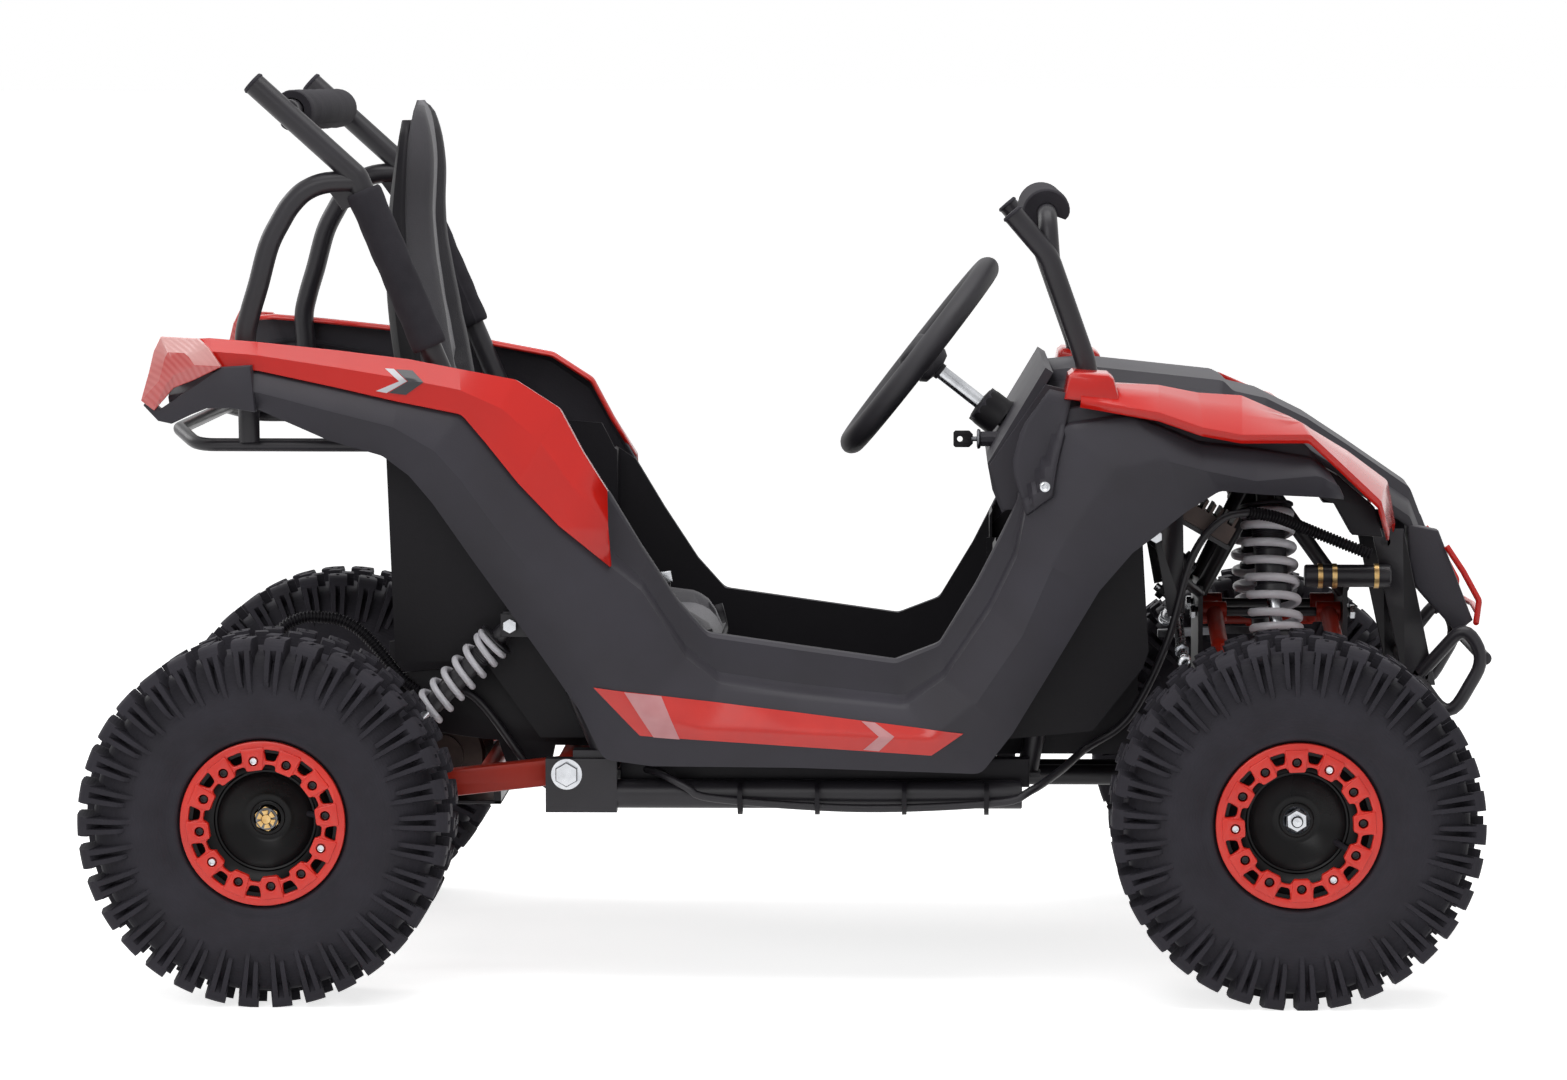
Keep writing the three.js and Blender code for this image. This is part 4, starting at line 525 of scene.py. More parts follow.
# Along the wall from the bead to the middle of the tread: kind, y and radius of the floor, y and radius of the lug
TREAD = [
    ("wall", (47.5, 77.6), None), ("wall", (50, 79.8), None), ("wall", (54.5, 84.5), None), ("wall", (58.4, 86.6), None),
    ("wall", (62.2, 87.6), None), ("wall", (63.6, 89.4), None), ("wall", (64.2, 93), None), ("wall", (63.8, 96.4), None),
    ("wall", (64.6, 98.6), None), ("wall", (68.6, 106), None), ("wall", (71, 115), None), ("wall", (71.8, 122), None),
    ("wall", (71.7, 129), None), ("long", (71.2, 133), (71.3, 133.2)), ("long", (70.4, 136), (72.8, 136.6)),
    ("long", (69.4, 140), (73.6, 140.6)), ("bar", (68, 146), (74.2, 146.6)), ("bar", (66.2, 152), (74.4, 153)),
    ("bar", (63.4, 159), (74, 161)), ("bar", (60, 165), (73, 170)), ("head", (56.4, 169), (71.4, 178)),
    ("head", (53.6, 171), (68.6, 184.8)), ("head", (51.6, 172), (65, 188.2)), ("head", (49, 172.8), (60, 189)),
    ("tip", (46.4, 173.4), (50, 189)), ("tip", (44.4, 173.8), (44.4, 189)), ("foot", (42.6, 174), (42.6, 188.8)),
    ("foot", (33.4, 174.6), (33.4, 188.8)), ("wall", (31.6, 174.7), None), ("wall", (29.6, 174.8), None),
    ("block", (28.4, 174.9), (28.4, 188.6)), ("block", (18, 175.4), (18, 189)), ("block", (7, 175.8), (7, 188.9)),
    ("wall", (5.6, 175.8), None), ("wall", (0, 176), None),
]
# Where along one pitch each kind of row stands up; the two sides are half a pitch apart
RAISED = {
    "wall": (), "long": ((0.08, 0.26),), "bar": ((0.08, 0.26), (0.42, 0.60)), "head": ((0.04, 0.66),),
    "tip": ((0.04, 0.30), (0.40, 0.66)), "foot": ((0.10, 0.60),), "block": ((0.52, 0.92),),
}


def tyre_mesh():
    edges = sorted({edge for spans in RAISED.values() for span in spans for edge in span})
    edges += [(edge + 0.5) % 1 for edge in edges]
    shares = sorted({round((edge + step) % 1, 3) for edge in edges for step in (-0.012, 0.012)})
    profile = [(row, 1) for row in TREAD] + [(row, -1) for row in reversed(TREAD[:-1])]
    rows = []
    for pitch in range(LUG_PITCHES):
        for share in shares:
            section = []
            for (kind, floor, top), side in profile:
                own = share if side > 0 else (share + 0.5) % 1
                high = top and any(low < own < above for low, above in RAISED[kind])
                y, r = top if high else floor
                turn = 2 * math.pi * (pitch + share + 0.004 * (y - 60)) / LUG_PITCHES
                section.append(Vector((r * math.sin(turn), side * y, r * math.cos(turn))))
            rows.append(section)
    return mesh_of("tyre", looped(rows, around=False), RUBBER)


BOLT_CIRCLE = 64.5
# Turns a plate drawn in X and Y so that it faces the wheel's outer side
FACING = Matrix(((1, 0, 0, 0), (0, 0, 1, 0), (0, -1, 0, 0), (0, 0, 0, 1)))


def softened(corners, cut):
    """A polygon with rounded corners."""
    soft = []
    for a, b, c in zip(corners[-1:] + corners[:-1], corners, corners[1:] + corners[:1]):
        a, b, c = Vector(a), Vector(b), Vector(c)
        p, q = b + (a - b).normalized() * cut, b + (c - b).normalized() * cut
        soft += [tuple(p * (1 - t) ** 2 + b * 2 * t * (1 - t) + q * t * t) for t in (0, 0.35, 0.65, 1)]
    return soft


def lobed_ring():
    """Beadlock ring: twelve raised pads reach inward, with a window between each two and a bolt hole in each."""
    inner = []
    for i in range(240):
        t = 2 * math.pi * i / 240
        r = 57.4 - 2.9 * math.tanh(4 * (math.cos(12 * t) + 0.29))
        inner.append((r * math.cos(t), r * math.sin(t)))
    holes, pads = [], []
    for i in range(12):
        at = Matrix.Rotation(math.radians(30 * i), 2)
        hole = [tuple(at @ Vector((BOLT_CIRCLE + x, y))) for x, y in circle(4.9, 20)]
        holes.append(hole)
        pad = softened([(54.6, -8.4), (54.6, 8.4), (77.5, 12), (77.5, -12)], 2.2)
        pad = [tuple(at @ Vector(p)) for p in pad]
        pads.append(plate([pad, hole], 3.4, Matrix.Translation((0, 63.4, 0)) @ FACING, 1.1))
        at = Matrix.Rotation(math.radians(30 * i + 15), 2)
        window = softened([(64.2, -4.6), (64.2, 4.6), (75.4, 8.2), (75.4, -8.2)], 2.6)
        holes.append([tuple(at @ Vector(p)) for p in window])
    return joined(plate([circle(84.3, 144), inner, *holes], 8, Matrix.Translation((0, 58.4, 0)) @ FACING, 1.8), *pads)


def socket_bolt(spot, axis, head=5.6, high=4.5):
    """A button head bolt with its hexagon socket."""
    profile = [
        (2.6, 1.2), (2.6, high - 0.2), (3.2, high), (head * 0.72, high * 0.9), (head, high * 0.35), (head, 0), (0.05, 0),
        (0.05, 1.2),
    ]
    return turned(profile, 24, spot, axis)


def castle_nut(spot, axis):
    """Hexagon nut with six slots cut in its crown."""
    body = []
    for i in range(36):
        t = 2 * math.pi * i / 36
        flat = 11.2 / math.cos((t % (math.pi / 3)) - math.pi / 6)
        body.append((min(flat, 12.6) * math.cos(t), min(flat, 12.6) * math.sin(t)))
    rows = [[Vector((x, y, 0)) for x, y in body], [Vector((x, y, 6.4)) for x, y in body]]
    parts = [capped(rows)]
    for i in range(6):
        t = math.radians(60 * i)
        wedge = []
        for r, s in ((5.4, -0.36), (9.6, -0.36), (9.6, 0.36), (5.4, 0.36)):
            wedge.append((r * math.cos(t + s), r * math.sin(t + s)))
        parts.append(capped([[Vector((x, y, 6)) for x, y in wedge], [Vector((x, y, 11.4)) for x, y in wedge]]))
    parts.append(turned([(0.05, 0), (5.2, 0), (5.2, 10.2), (4.6, 10.8), (0.05, 10.8)], 24))
    return moved(joined(*parts), along_axis(spot, axis))


def hexagon(r, low, high, spot, axis, crown=0.8):
    """A bolt head or nut from low to high along its axis, its crown chamfered."""
    levels = ((r, low), (r, high - crown), (r * 0.92, high))
    return moved(capped([ring(size, rise, 6, math.pi / 6) for size, rise in levels]), along_axis(spot, axis))


# Profiles turned round the axle: radius, and distance from the wheel's middle plane
RIM_SHELL = [
    (84.4, 53.8), (84.5, 55.6), (82.6, 56.3), (76.6, 55.9), (71.8, 55.2), (69, 50), (62, 42), (55, 35.6), (51.6, 33.6),
    (51.6, 31), (56, 30.4), (64, 38), (69, 44), (71.8, 40), (71.8, -46), (74.5, -50.5), (80, -53), (84.4, -53.8),
    (84.5, -55.6), (82.6, -56.3), (79, -54.8), (76.7, -51), (76.7, 51), (79, 52.6),
]
RIM_DISH = [
    (50.2, 33.4), (48.6, 31.4), (42, 26.5), (33, 21), (25, 16.6), (21.5, 15.2), (18, 15.8), (17.4, 18.4), (16, 19),
    (14, 18.8), (14, -30), (21, -30), (21, 10.5), (26, 12), (34, 16.6), (43, 22), (49.4, 27), (51.4, 30.6), (51.4, 33),
]
RIM_EDGE = [(48.8, 32.4), (49.6, 34.6), (51.4, 35.2), (53, 34.4), (53, 33), (50.5, 32.6)]
lobed = mesh_of("lobed_ring", lobed_ring(), RING)
shell = mesh_of("rim_shell", turned(RIM_SHELL, 96, axis=OUT), DISH)
dish = mesh_of("rim_dish", turned(RIM_DISH, 96, axis=OUT), DISH)
edge_ring = mesh_of("dish_edge", turned(RIM_EDGE, 96, axis=OUT), DISH)
tread = tyre_mesh()
# Every fourth bolt of the ring is bright and stands higher
ring_bolts = []
for i in range(12):
    t = math.radians(30 * i)
    spot = Vector((BOLT_CIRCLE * math.cos(t), 61 if i % 4 == 0 else 57, -BOLT_CIRCLE * math.sin(t)))
    ring_bolts.append((i % 4 == 0, socket_bolt(spot, OUT, 4.9, 4.5)))
bright_bolts = mesh_of("ring_bolts", joined(*[part for bright, part in ring_bolts if bright]), ZINC)
dark_bolts = mesh_of("ring_screws", joined(*[part for bright, part in ring_bolts if not bright]), TUBE)
rear_nut = mesh_of("castle_nut", castle_nut((0, 19, 0), OUT), NUT)
front_nut = mesh_of(
    "hub_nut",
    joined(
        hexagon(11.6, 14.5, 25.5, (0, 0, 0), OUT),
        turned([(0.05, 25), (6.4, 25), (6, 32), (4.8, 34), (0.05, 34.4)], 24, axis=OUT),
        turned([(12, 14.2), (17.2, 14.2), (17.6, 16), (16.4, 18.4), (14.2, 18.8), (12, 16.6)], 40, axis=OUT),
    ),
    ZINC,
)
valve = mesh_of("valve", peg((0, 28, 44), (0, 52, 58), 3.2, 12), RUBBER)
for name, side in SIDES:
    for end, x, start in (("rear", REAR_X, 97.3), ("front", FRONT_X, 62.5)):
        body = "rear_wheels" if end == "rear" else f"front_wheel_{name}"
        facing = Matrix.Rotation(math.pi if side < 0 else 0, 4, "Z")
        centre = Matrix.Translation(Vector((x, side * HALF_TRACK, AXLE_Z)) * mm)
        turn = Matrix.Rotation(math.radians(start if side > 0 else start + 180), 4, "Y")
        sets = [("tyre", tread, 50), ("ring", lobed, 35), ("rim", shell, 35), ("dish", dish, 35)]
        sets += [("dish_edge", edge_ring, 35), ("bolts", bright_bolts, 35), ("screws", dark_bolts, 35)]
        sets += [("valve", valve, 35), ("nut", rear_nut if end == "rear" else front_nut, 30)]
        for label, data, smooth in sets:
            made = bpy.data.objects.new(f"{label}.{end}.{name}", data)
            scene.collection.objects.link(made)
            made.matrix_world = centre @ facing @ turn
            dress(made, smooth)
            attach(made, body)
            if label == "tyre":
                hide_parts(f"tyre_{end}_{name}")
            if label == "rim":
                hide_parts(f"rim_{end}_{name}")


# ---------------------------------------------------------------- side panels with their trims, films and lamps
# Stations from the tail to the nose: top edge, lip, crease and lower edge as (x, z)
SPAN, HIGH, MID_X = 1050, 680, -15.5
STATIONS = [
    ((-0.598, 0.985), (-0.598, 0.93), (-0.6, 0.905), (-0.598, 0.866)),
    ((-0.563, 0.988), (-0.548, 0.949), (-0.552, 0.92), (-0.557, 0.891)),
    ((-0.515, 0.982), (-0.513, 0.944), (-0.512, 0.912), (-0.512, 0.884)),
    ((-0.435, 0.969), (-0.435, 0.918), (-0.438, 0.882), (-0.444, 0.838)),
    ((-0.367, 0.956), (-0.376, 0.897), (-0.381, 0.86), (-0.392, 0.815)),
    ((-0.317, 0.941), (-0.314, 0.878), (-0.34, 0.824), (-0.366, 0.785)),
    ((-0.262, 0.925), (-0.29, 0.834), (-0.314, 0.779), (-0.343, 0.743)),
    ((-0.219, 0.882), (-0.259, 0.774), (-0.283, 0.713), (-0.305, 0.659)),
    ((-0.197, 0.818), (-0.219, 0.709), (-0.243, 0.632), (-0.272, 0.588)),
    ((-0.172, 0.756), (-0.169, 0.647), (-0.197, 0.544), (-0.235, 0.507)),
    ((-0.141, 0.676), (-0.138, 0.609), (-0.176, 0.485), (-0.2, 0.429)),
    ((-0.105, 0.591), (-0.095, 0.507), (-0.143, 0.426), (-0.176, 0.353)),
    ((-0.076, 0.541), (-0.062, 0.468), (-0.081, 0.4), (-0.129, 0.343)),
    ((0.014, 0.521), (0.014, 0.451), (0.014, 0.394), (0.014, 0.341)),
    ((0.11, 0.5), (0.121, 0.434), (0.148, 0.385), (0.195, 0.332)),
    ((0.154, 0.526), (0.159, 0.476), (0.19, 0.441), (0.226, 0.394)),
    ((0.19, 0.618), (0.205, 0.582), (0.235, 0.544), (0.264, 0.491)),
    ((0.214, 0.691), (0.23, 0.662), (0.264, 0.647), (0.31, 0.61)),
    ((0.228, 0.735), (0.239, 0.735), (0.3, 0.735), (0.343, 0.669)),
    ((0.262, 0.882), (0.277, 0.86), (0.329, 0.794), (0.365, 0.694)),
    ((0.329, 0.9), (0.343, 0.875), (0.376, 0.809), (0.395, 0.731)),
    ((0.407, 0.865), (0.408, 0.831), (0.414, 0.794), (0.428, 0.763)),
    ((0.458, 0.843), (0.462, 0.824), (0.462, 0.779), (0.471, 0.757)),
    ((0.51, 0.835), (0.519, 0.809), (0.524, 0.787), (0.529, 0.753)),
    ((0.526, 0.806), (0.535, 0.79), (0.542, 0.771), (0.548, 0.75)),
]


def station(k, rail, y):
    x_share, z_share = STATIONS[k][rail]
    return Vector((MID_X + x_share * SPAN, y, z_share * HIGH))


PANEL_Y = (lambda k: 252 if 9 <= k <= 18 else 285, lambda k: 300, lambda k: 318, lambda k: 305)
rails = [[station(k, r, PANEL_Y[r](k)) for k in range(len(STATIONS))] for r in range(4)]


def mixed(a, b, share, out=0.0):
    return [p.lerp(q, share) + Vector((0, out, 0)) for p, q in zip(a, b)]


def between(a, b, share, out):
    """A row between two rails: share of the way in X and Z, share out of the way in Y."""
    return [Vector((p.x + (q.x - p.x) * share, p.y + (q.y - p.y) * out, p.z + (q.z - p.z) * share)) for p, q in zip(a, b)]


# From lip to ledge: share of the way down, share of the way out
LIP = [
    (0.12, -0.10), (0.03, -0.08), (0.0, 0.02), (0.02, 0.12), (0.10, 0.20), (0.55, 0.24), (0.82, 0.32), (0.90, 0.50),
    (0.93, 0.80), (0.97, 0.95),
]


def panel_part(side):
    """The moulding between its rails, with a rolled lip, a ledge below it and a flange turned in at the lower edge."""
    turned_in = [p + Vector((0, -14, 0)) for p in rails[3]]
    rows = [between(rails[0], rails[1], down, out) for down, out in LIP]
    rows += [
        rails[1], mixed(rails[1], rails[2], 0.12, 1.5), mixed(rails[1], rails[2], 0.88, 1), rails[2],
        mixed(rails[2], rails[3], 0.5, 1.5), rails[3], turned_in,
    ]
    return sided(grid([rounded(row, 16, 3) for row in rows]), side)


# Plain shapes on the sill: name, corners in X and Z, look, cuts and height above the panel
SILL_FILMS = [
    ("sill_stripe", ((-210, 316), (171, 269), (138, 246), (-162, 266)), FILM_RED, (40, 8), 1.4),
    ("sill_band", ((-178, 311.5), (-140, 307), (-121, 262.5), (-148, 264.5)), FILM_PINK, (8, 8), 2.0),
    ("sill_arrow_up", ((66, 281.5), (80, 280), (100, 266), (84, 266)), FILM_PINK, (6, 6), 2.0),
    ("sill_arrow_low", ((84, 266), (100, 266), (84, 250.5), (68, 252)), FILM_PINK, (6, 6), 2.0),
]
panels = {}
for name, side in SIDES:
    made = piece(f"side_panel.{name}", panel_part(side), PANEL, replaces=[f"side_panel_{name}"], smooth=24)
    panels[name] = walled(made, 3.2)
    for label, corners, look, cuts, lift in SILL_FILMS:
        film(f"{label}.{name}", corners, look, made, side, cuts, lift)


# The patch on the panel never lies further in than this, in Y
CHEEK_Y = 286


def draped(name, left, right, look, target, side, lift, thick, cuts=(10, 8)):
    """A patch between two edges drawn in X and Z, laid on a piece from outside."""
    reach = skin_of(target, side)
    a, b = [resampled([(x, 0, z) for x, z in edge], 0, cuts[0]) for edge in (left, right)]
    rows = []
    for p, q in zip(a, b):
        row = []
        for j in range(cuts[1] + 1):
            spot = p.lerp(q, j / cuts[1])
            y = max(abs(reach(spot.x, spot.z) or 0), CHEEK_Y)
            row.append(Vector((spot.x, side * (y + lift), spot.z)))
        rows.append(row)
    return walled(piece(name, grid(rows), look, smooth=30), thick, 0)


def resampled(points, pitch, count=None):
    """Points at even steps along a rounded line."""
    line = eased(points, 12) if pitch else [Vector(p) for p in points]
    total = sum((b - a).length for a, b in zip(line, line[1:]))
    count = count or max(2, round(total / pitch))
    found, run, k = [line[0]], 0.0, 1
    for a, b in zip(line, line[1:]):
        step = (b - a).length
        while k <= count and k * total / count <= run + step + 1e-6:
            found.append(a.lerp(b, min(1, (k * total / count - run) / max(step, 1e-9))))
            k += 1
        run += step
    return found


for name, side in SIDES:
    cheek_left = [(259, 622), (230, 582), (220, 542), (235, 494)]
    cheek_right = [(283, 617), (274, 580), (266, 542), (262, 513)]
    draped(f"cowl_cheek.{name}", cheek_left, cheek_right, PANEL, panels[name], side, 3, 4)
    washer = [(0.05, 2.2), (2, 2.2), (3.4, 3.4), (5.2, 2.6), (6, 0), (0.05, 0)]
    piece(f"cheek_screw.{name}", turned(washer, 20, (254, side * 321, 524), (0, side, 0)), ZINC, smooth=30)

# Rear trim: a glossy blade over the fender's shoulder, and the lamp at its tail
trim_top = [p + Vector((0, (33 if p.y < 285 else 0) + 5, 3)) for p in rails[0][:10]]
trim_low = [p + Vector((0, 5, 0)) for p in rails[1][:10]]


def trim_part():
    top_in = [p + Vector((0, -26, -2)) for p in trim_top]
    rows = [top_in, trim_top, mixed(trim_top, trim_low, 0.45, 8), trim_low, [p + Vector((0, -3.5, -1)) for p in trim_low]]
    return grid([rounded(row, 14, 3) for row in rows])


# The lamp's outline, in the units of STATIONS
LAMP = [
    (-0.613, 0.975), (-0.606, 0.997), (-0.57, 0.994), (-0.56, 0.981), (-0.547, 0.951), (-0.574, 0.931), (-0.594, 0.919),
    (-0.613, 0.885), (-0.626, 0.9), (-0.618, 0.943),
]


def lamp_part():
    """Lens with flat facets that meet on a raised point."""
    low = [Vector((MID_X + x * SPAN, 316, z * HIGH)) for x, z in LAMP]
    high = [Vector((p.x, 325, p.z)) for p in low]
    heart = Vector((MID_X - 0.592 * SPAN, 331, 0.955 * HIGH))
    inner = [heart + (p - heart) * 0.45 + Vector((0, 3.2, 0)) for p in high]
    points = low + high + inner + [heart + Vector((0, 1, 0))]
    n = len(low)
    faces = [tuple(reversed(range(n)))]
    for a, b in ((0, n), (n, 2 * n)):
        faces += [(a + i, a + (i + 1) % n, b + (i + 1) % n, b + i) for i in range(n)]
    faces += [(2 * n + i, 2 * n + (i + 1) % n, 3 * n) for i in range(n)]
    return points, faces


TRIM_FILMS = [
    ("trim_arrow_up", ((-424, 644), (-415, 643.5), (-401, 631), (-409, 631)), FILM_WHITE),
    ("trim_arrow_low", ((-409, 631), (-401, 631), (-422, 619), (-433, 621)), FILM_WHITE),
    ("trim_bar_up", ((-413, 643), (-396, 642), (-384, 630), (-400, 631)), FILM_DARK),
    ("trim_bar_low", ((-400, 631), (-384, 630), (-402, 617), (-420, 619)), FILM_DARK),
]
BEZEL = [
    (-671, 607), (-667, 613.5), (-654, 603), (-591, 646), (-560, 648), (-556, 600), (-582, 604), (-608, 604), (-642, 588),
    (-656, 591),
]
for name, side in SIDES:
    made = piece(f"rear_trim.{name}", sided(trim_part(), side), RED, replaces=[f"rear_trim_{name}"], smooth=22)
    walled(made, 3)
    for label, corners, look in TRIM_FILMS:
        film(f"{label}.{name}", corners, look, made, side, (5, 5), 0.8)
    piece(f"tail_lamp.{name}", sided(lamp_part(), side), LENS, smooth=15, bevel=0.8)
    piece(f"lamp_bezel.{name}", sided(side_plate(BEZEL, 300, 322, 2), side), PANEL, smooth=25)

# Front trim: a glossy strip between the bonnet and the fender, and its bracket at the hoop
FRONT_TRIM = [
    ((0.292, 0.915), (0.292, 0.893)), ((0.37, 0.908), (0.368, 0.873)), ((0.409, 0.899), (0.41, 0.851)),
    ((0.452, 0.899), (0.448, 0.84)), ((0.5, 0.866), (0.515, 0.84)), ((0.56, 0.81), (0.551, 0.788)),
    ((0.602, 0.76), (0.586, 0.737)), ((0.61, 0.691), (0.596, 0.688)),
]
FRONT_TRIM_Y = [(217, 290), (217, 298), (216, 304), (212, 304), (196, 300), (168, 290), (146, 275), (146, 255)]


def front_trim_part():
    edges = []
    for i in (0, 1):
        lower = [0, 0, 2, 5, 5, 5, 4, 2] if i == 0 else [0] * 8
        edges.append([Vector((MID_X + pair[i][0] * SPAN, ys[i] + 14, pair[i][1] * HIGH + 6 - drop))
                      for pair, ys, drop in zip(FRONT_TRIM, FRONT_TRIM_Y, lower)])
    top, low = edges
    skirt = [p + Vector((-1, 0, -9)) for p in low]
    ridge = [p.lerp(q, 0.62) + Vector((0, 4, 5)) for p, q in zip(top, low)]
    tuck = [p + Vector((-1, -2, -9)) for p in top]
    rows = [tuck, top, mixed(top, ridge, 0.5, 1), ridge, low, skirt]
    return grid([rounded(row, 8, 2) for row in rows])


for name, side in SIDES:
    made = piece(f"front_trim.{name}", sided(front_trim_part(), side), RED, replaces=[f"front_trim_{name}"], smooth=22)
    walled(made, 3)
    bracket = [(274, 612), (279, 636), (284, 640), (320, 637), (325, 633), (331, 612), (324, 606), (300, 609)]
    piece(f"hoop_bracket.{name}", sided(side_plate(bracket, 205, 298, 4), side), RED, smooth=25)
    liner = [(505, 560), (560, 529), (597, 497), (606, 466), (574, 468), (556, 500), (505, 522)]
    piece(f"fender_liner.{name}", sided(side_plate(liner, 196, 240, 2), side), TUB, smooth=25)


# ---------------------------------------------------------------- tubes
RAIL_Y, CAGE_Y, HOOP_Y = 268, 265, 215
SWING_X, SWING_Z, SWING_Y = -240, 222, 240
# Bars that carry the foam pads, and the cylinder in the nose
REAR_BAR_X, REAR_BAR_Z, FRONT_BAR_X, FRONT_BAR_Z = -527, 908, 258, 800
CYLINDER_Y, CYLINDER_Z, CYLINDER_R = -145, 417, 12
KINK, CAGE_TOP, LEG_FOOT = (-455, 840), (-561, 936), (-200, 238.3)


def leg_x(z):
    return LEG_FOOT[0] + (KINK[0] - LEG_FOOT[0]) * (z - LEG_FOOT[1]) / (KINK[1] - LEG_FOOT[1])


def lean(shock):
    """Frame of a shock absorber: Z from its lower eye to its upper eye, Y along its bolts."""
    low, high, axis = Vector(shock["low"]), Vector(shock["high"]), Vector(shock["axis"])
    up = (high - low).normalized()
    out = axis.cross(up).normalized()
    across = up.cross(out)
    turn = Matrix((out, across, up)).transposed().to_4x4()
    return Matrix.Translation(low) @ turn, (high - low).length


# Eyes, bolt direction and radii; the seats are measured from the lower and the upper eye
SHOCKS = {
    "rear": {"low": (-437, 240, 234), "high": (-300, 240, 374), "axis": (0, 1, 0), "eye": 9, "wide": 20, "tube": 11,
             "rod": 6, "coil": 20, "wire": 3.5, "turns": 9.5, "low_seat": 28, "high_seat": 24},
    "front": {"low": (515, 190, 195), "high": (489, 115, 520), "axis": (1, 0, 0), "eye": 10, "wide": 22, "tube": 17,
              "rod": 7, "coil": 29, "wire": 4.5, "turns": 8, "low_seat": 165, "high_seat": 34},
}


def front_shock_mount():
    place, span = lean(SHOCKS["front"])
    parts = [
        block((-12, 11.5, span - 12), (17, 16.5, span + 12)), block((-12, -16.5, span - 12), (17, -11.5, span + 12)),
        block((12, -16.5, span - 12), (17, 16.5, span + 12)), peg((0, -19, span), (0, 19, span), 5, 16),
        hexagon(8, 16.5, 22, (0, 0, span), (0, 1, 0)), hexagon(8, 16.5, 22, (0, 0, span), (0, -1, 0)),
    ]
    return moved(joined(*parts), place)


# Cross tube above the front shocks, and the lowest corner of the bumper tube
TOWER_X, TOWER_Y, TOWER_Z = 489, 98.5, 516
BUMPER_X, BUMPER_Y, BUMPER_Z = 721.5, 150, 330


def main_frame_parts():
    tubes = [peg((-215, RAIL_Y, 200), (232, RAIL_Y, 200), 15, 28, 1)]
    tubes.append(block((-262, 264, 182), (-188, 283, 238)))
    tubes.append(peg((217, 24, 190), (630, 24, 190), 11, 20))
    tubes.append(tube([(620, 24, 190), (640, 24, 190), (655, 24, 310)], 9, 18))
    hoop = [(655, 132, 312), (700, 150, 366), (BUMPER_X, BUMPER_Y, BUMPER_Z), (684, 150, 264), (652, 132, 308)]
    tubes.append(tube(hoop, 7, 44))
    tubes.append(front_shock_mount())
    for x in (425.5, 578.5):
        tubes.append(peg((x, 60, 392), (TOWER_X, TOWER_Y, TOWER_Z), 8, 16))
    tubes.append(side_plate([(602, 466), (636, 466), (671, 300), (638, 300)], 130, 134, 0.8))
    tubes.append(side_plate([(366, 488), (401, 489), (403, 382), (386, 378)], 186, 190, 0.8))
    tubes.append(peg((384, 188, 430), (425, 74, 391), 5, 14))
    tubes += [block((x - 10, 90, 200), (x + 10, 130, 231.7)) for x in (0, 217)]
    mirrored = both(joined(*tubes))
    cross = [peg((x, -RAIL_Y, 200), (x, RAIL_Y, 200), 12, 20) for x in (-200, 0, 217)]
    cross.append(peg((BUMPER_X, -BUMPER_Y, BUMPER_Z), (BUMPER_X, BUMPER_Y, BUMPER_Z), 7, 16))
    cross.append(peg((655, -134, 310), (655, 134, 310), 9, 16))
    cross.append(peg((617, -134, 452), (617, 134, 452), 6, 16))
    cross.append(peg((TOWER_X, -TOWER_Y, TOWER_Z), (TOWER_X, TOWER_Y, TOWER_Z), 8, 16))
    for x in (425, 579):
        cross.append(block((x - 2.5, -82, 172), (x + 2.5, 82, 400)))
    for y in (-50, 50):
        cross += [peg((417.5, y, z), (586.5, y, z), 5, 14) for z in (190, 370)]
    tilted = Matrix.Translation((428, -150, 478)) @ Matrix.Rotation(math.pi / 6, 4, "Y")
    shelf = moved(block((-32, -30, -17), (34, 76, -12.3)), tilted)
    return joined(mirrored, *cross, shelf)


piece("floor_and_nose_frame", main_frame_parts(), TUBE, replaces=["main_frame"], bevel=0.8, segments=1)
heads = []
for side in (-1, 1):
    heads.append(hexagon(13, 283, 289.5, (SWING_X, 0, SWING_Z), (0, side, 0), 1.5))
    heads.append(turned([(7, 283), (16, 283), (16, 284.6), (7, 284.6)], 32, (SWING_X, 0, SWING_Z), (0, side, 0)))
    heads += [hexagon(8, 5, 10, (586.5 - 5, side * 50, z), AHEAD) for z in (190, 370)]
    heads += [hexagon(8, 0, 5, (417.5 + 3, side * 50, z), (-1, 0, 0)) for z in (190, 370)]
    heads.append(hexagon(7, 190, 195, (373, 0, 462), (0, side, 0)))
piece("frame_bolts", joined(*heads), ZINC, smooth=20)
cylinder = peg((531, CYLINDER_Y, CYLINDER_Z), (622, CYLINDER_Y, CYLINDER_Z), CYLINDER_R, 28, 1.5)
piece("nose_cylinder", cylinder, TUBE)
band = [(CYLINDER_R + 0.2, 0), (CYLINDER_R + 1.2, 0), (CYLINDER_R + 1.2, 5), (CYLINDER_R + 0.2, 5)]
bands = [turned(band, 28, (x, CYLINDER_Y, CYLINDER_Z), AHEAD) for x in (545, 560, 604)]
piece("cylinder_bands", joined(*bands), NUT)

# The rear brace in X and Z, from the leg's kink down to the loop under the fender
BRACE = [
    (-450, 835), (-486, 834), (-508, 826), (-523, 812), (-534, 795), (-547, 769), (-558, 729), (-567, 699), (-572, 674),
    (-570, 640), (-569, 566),
]


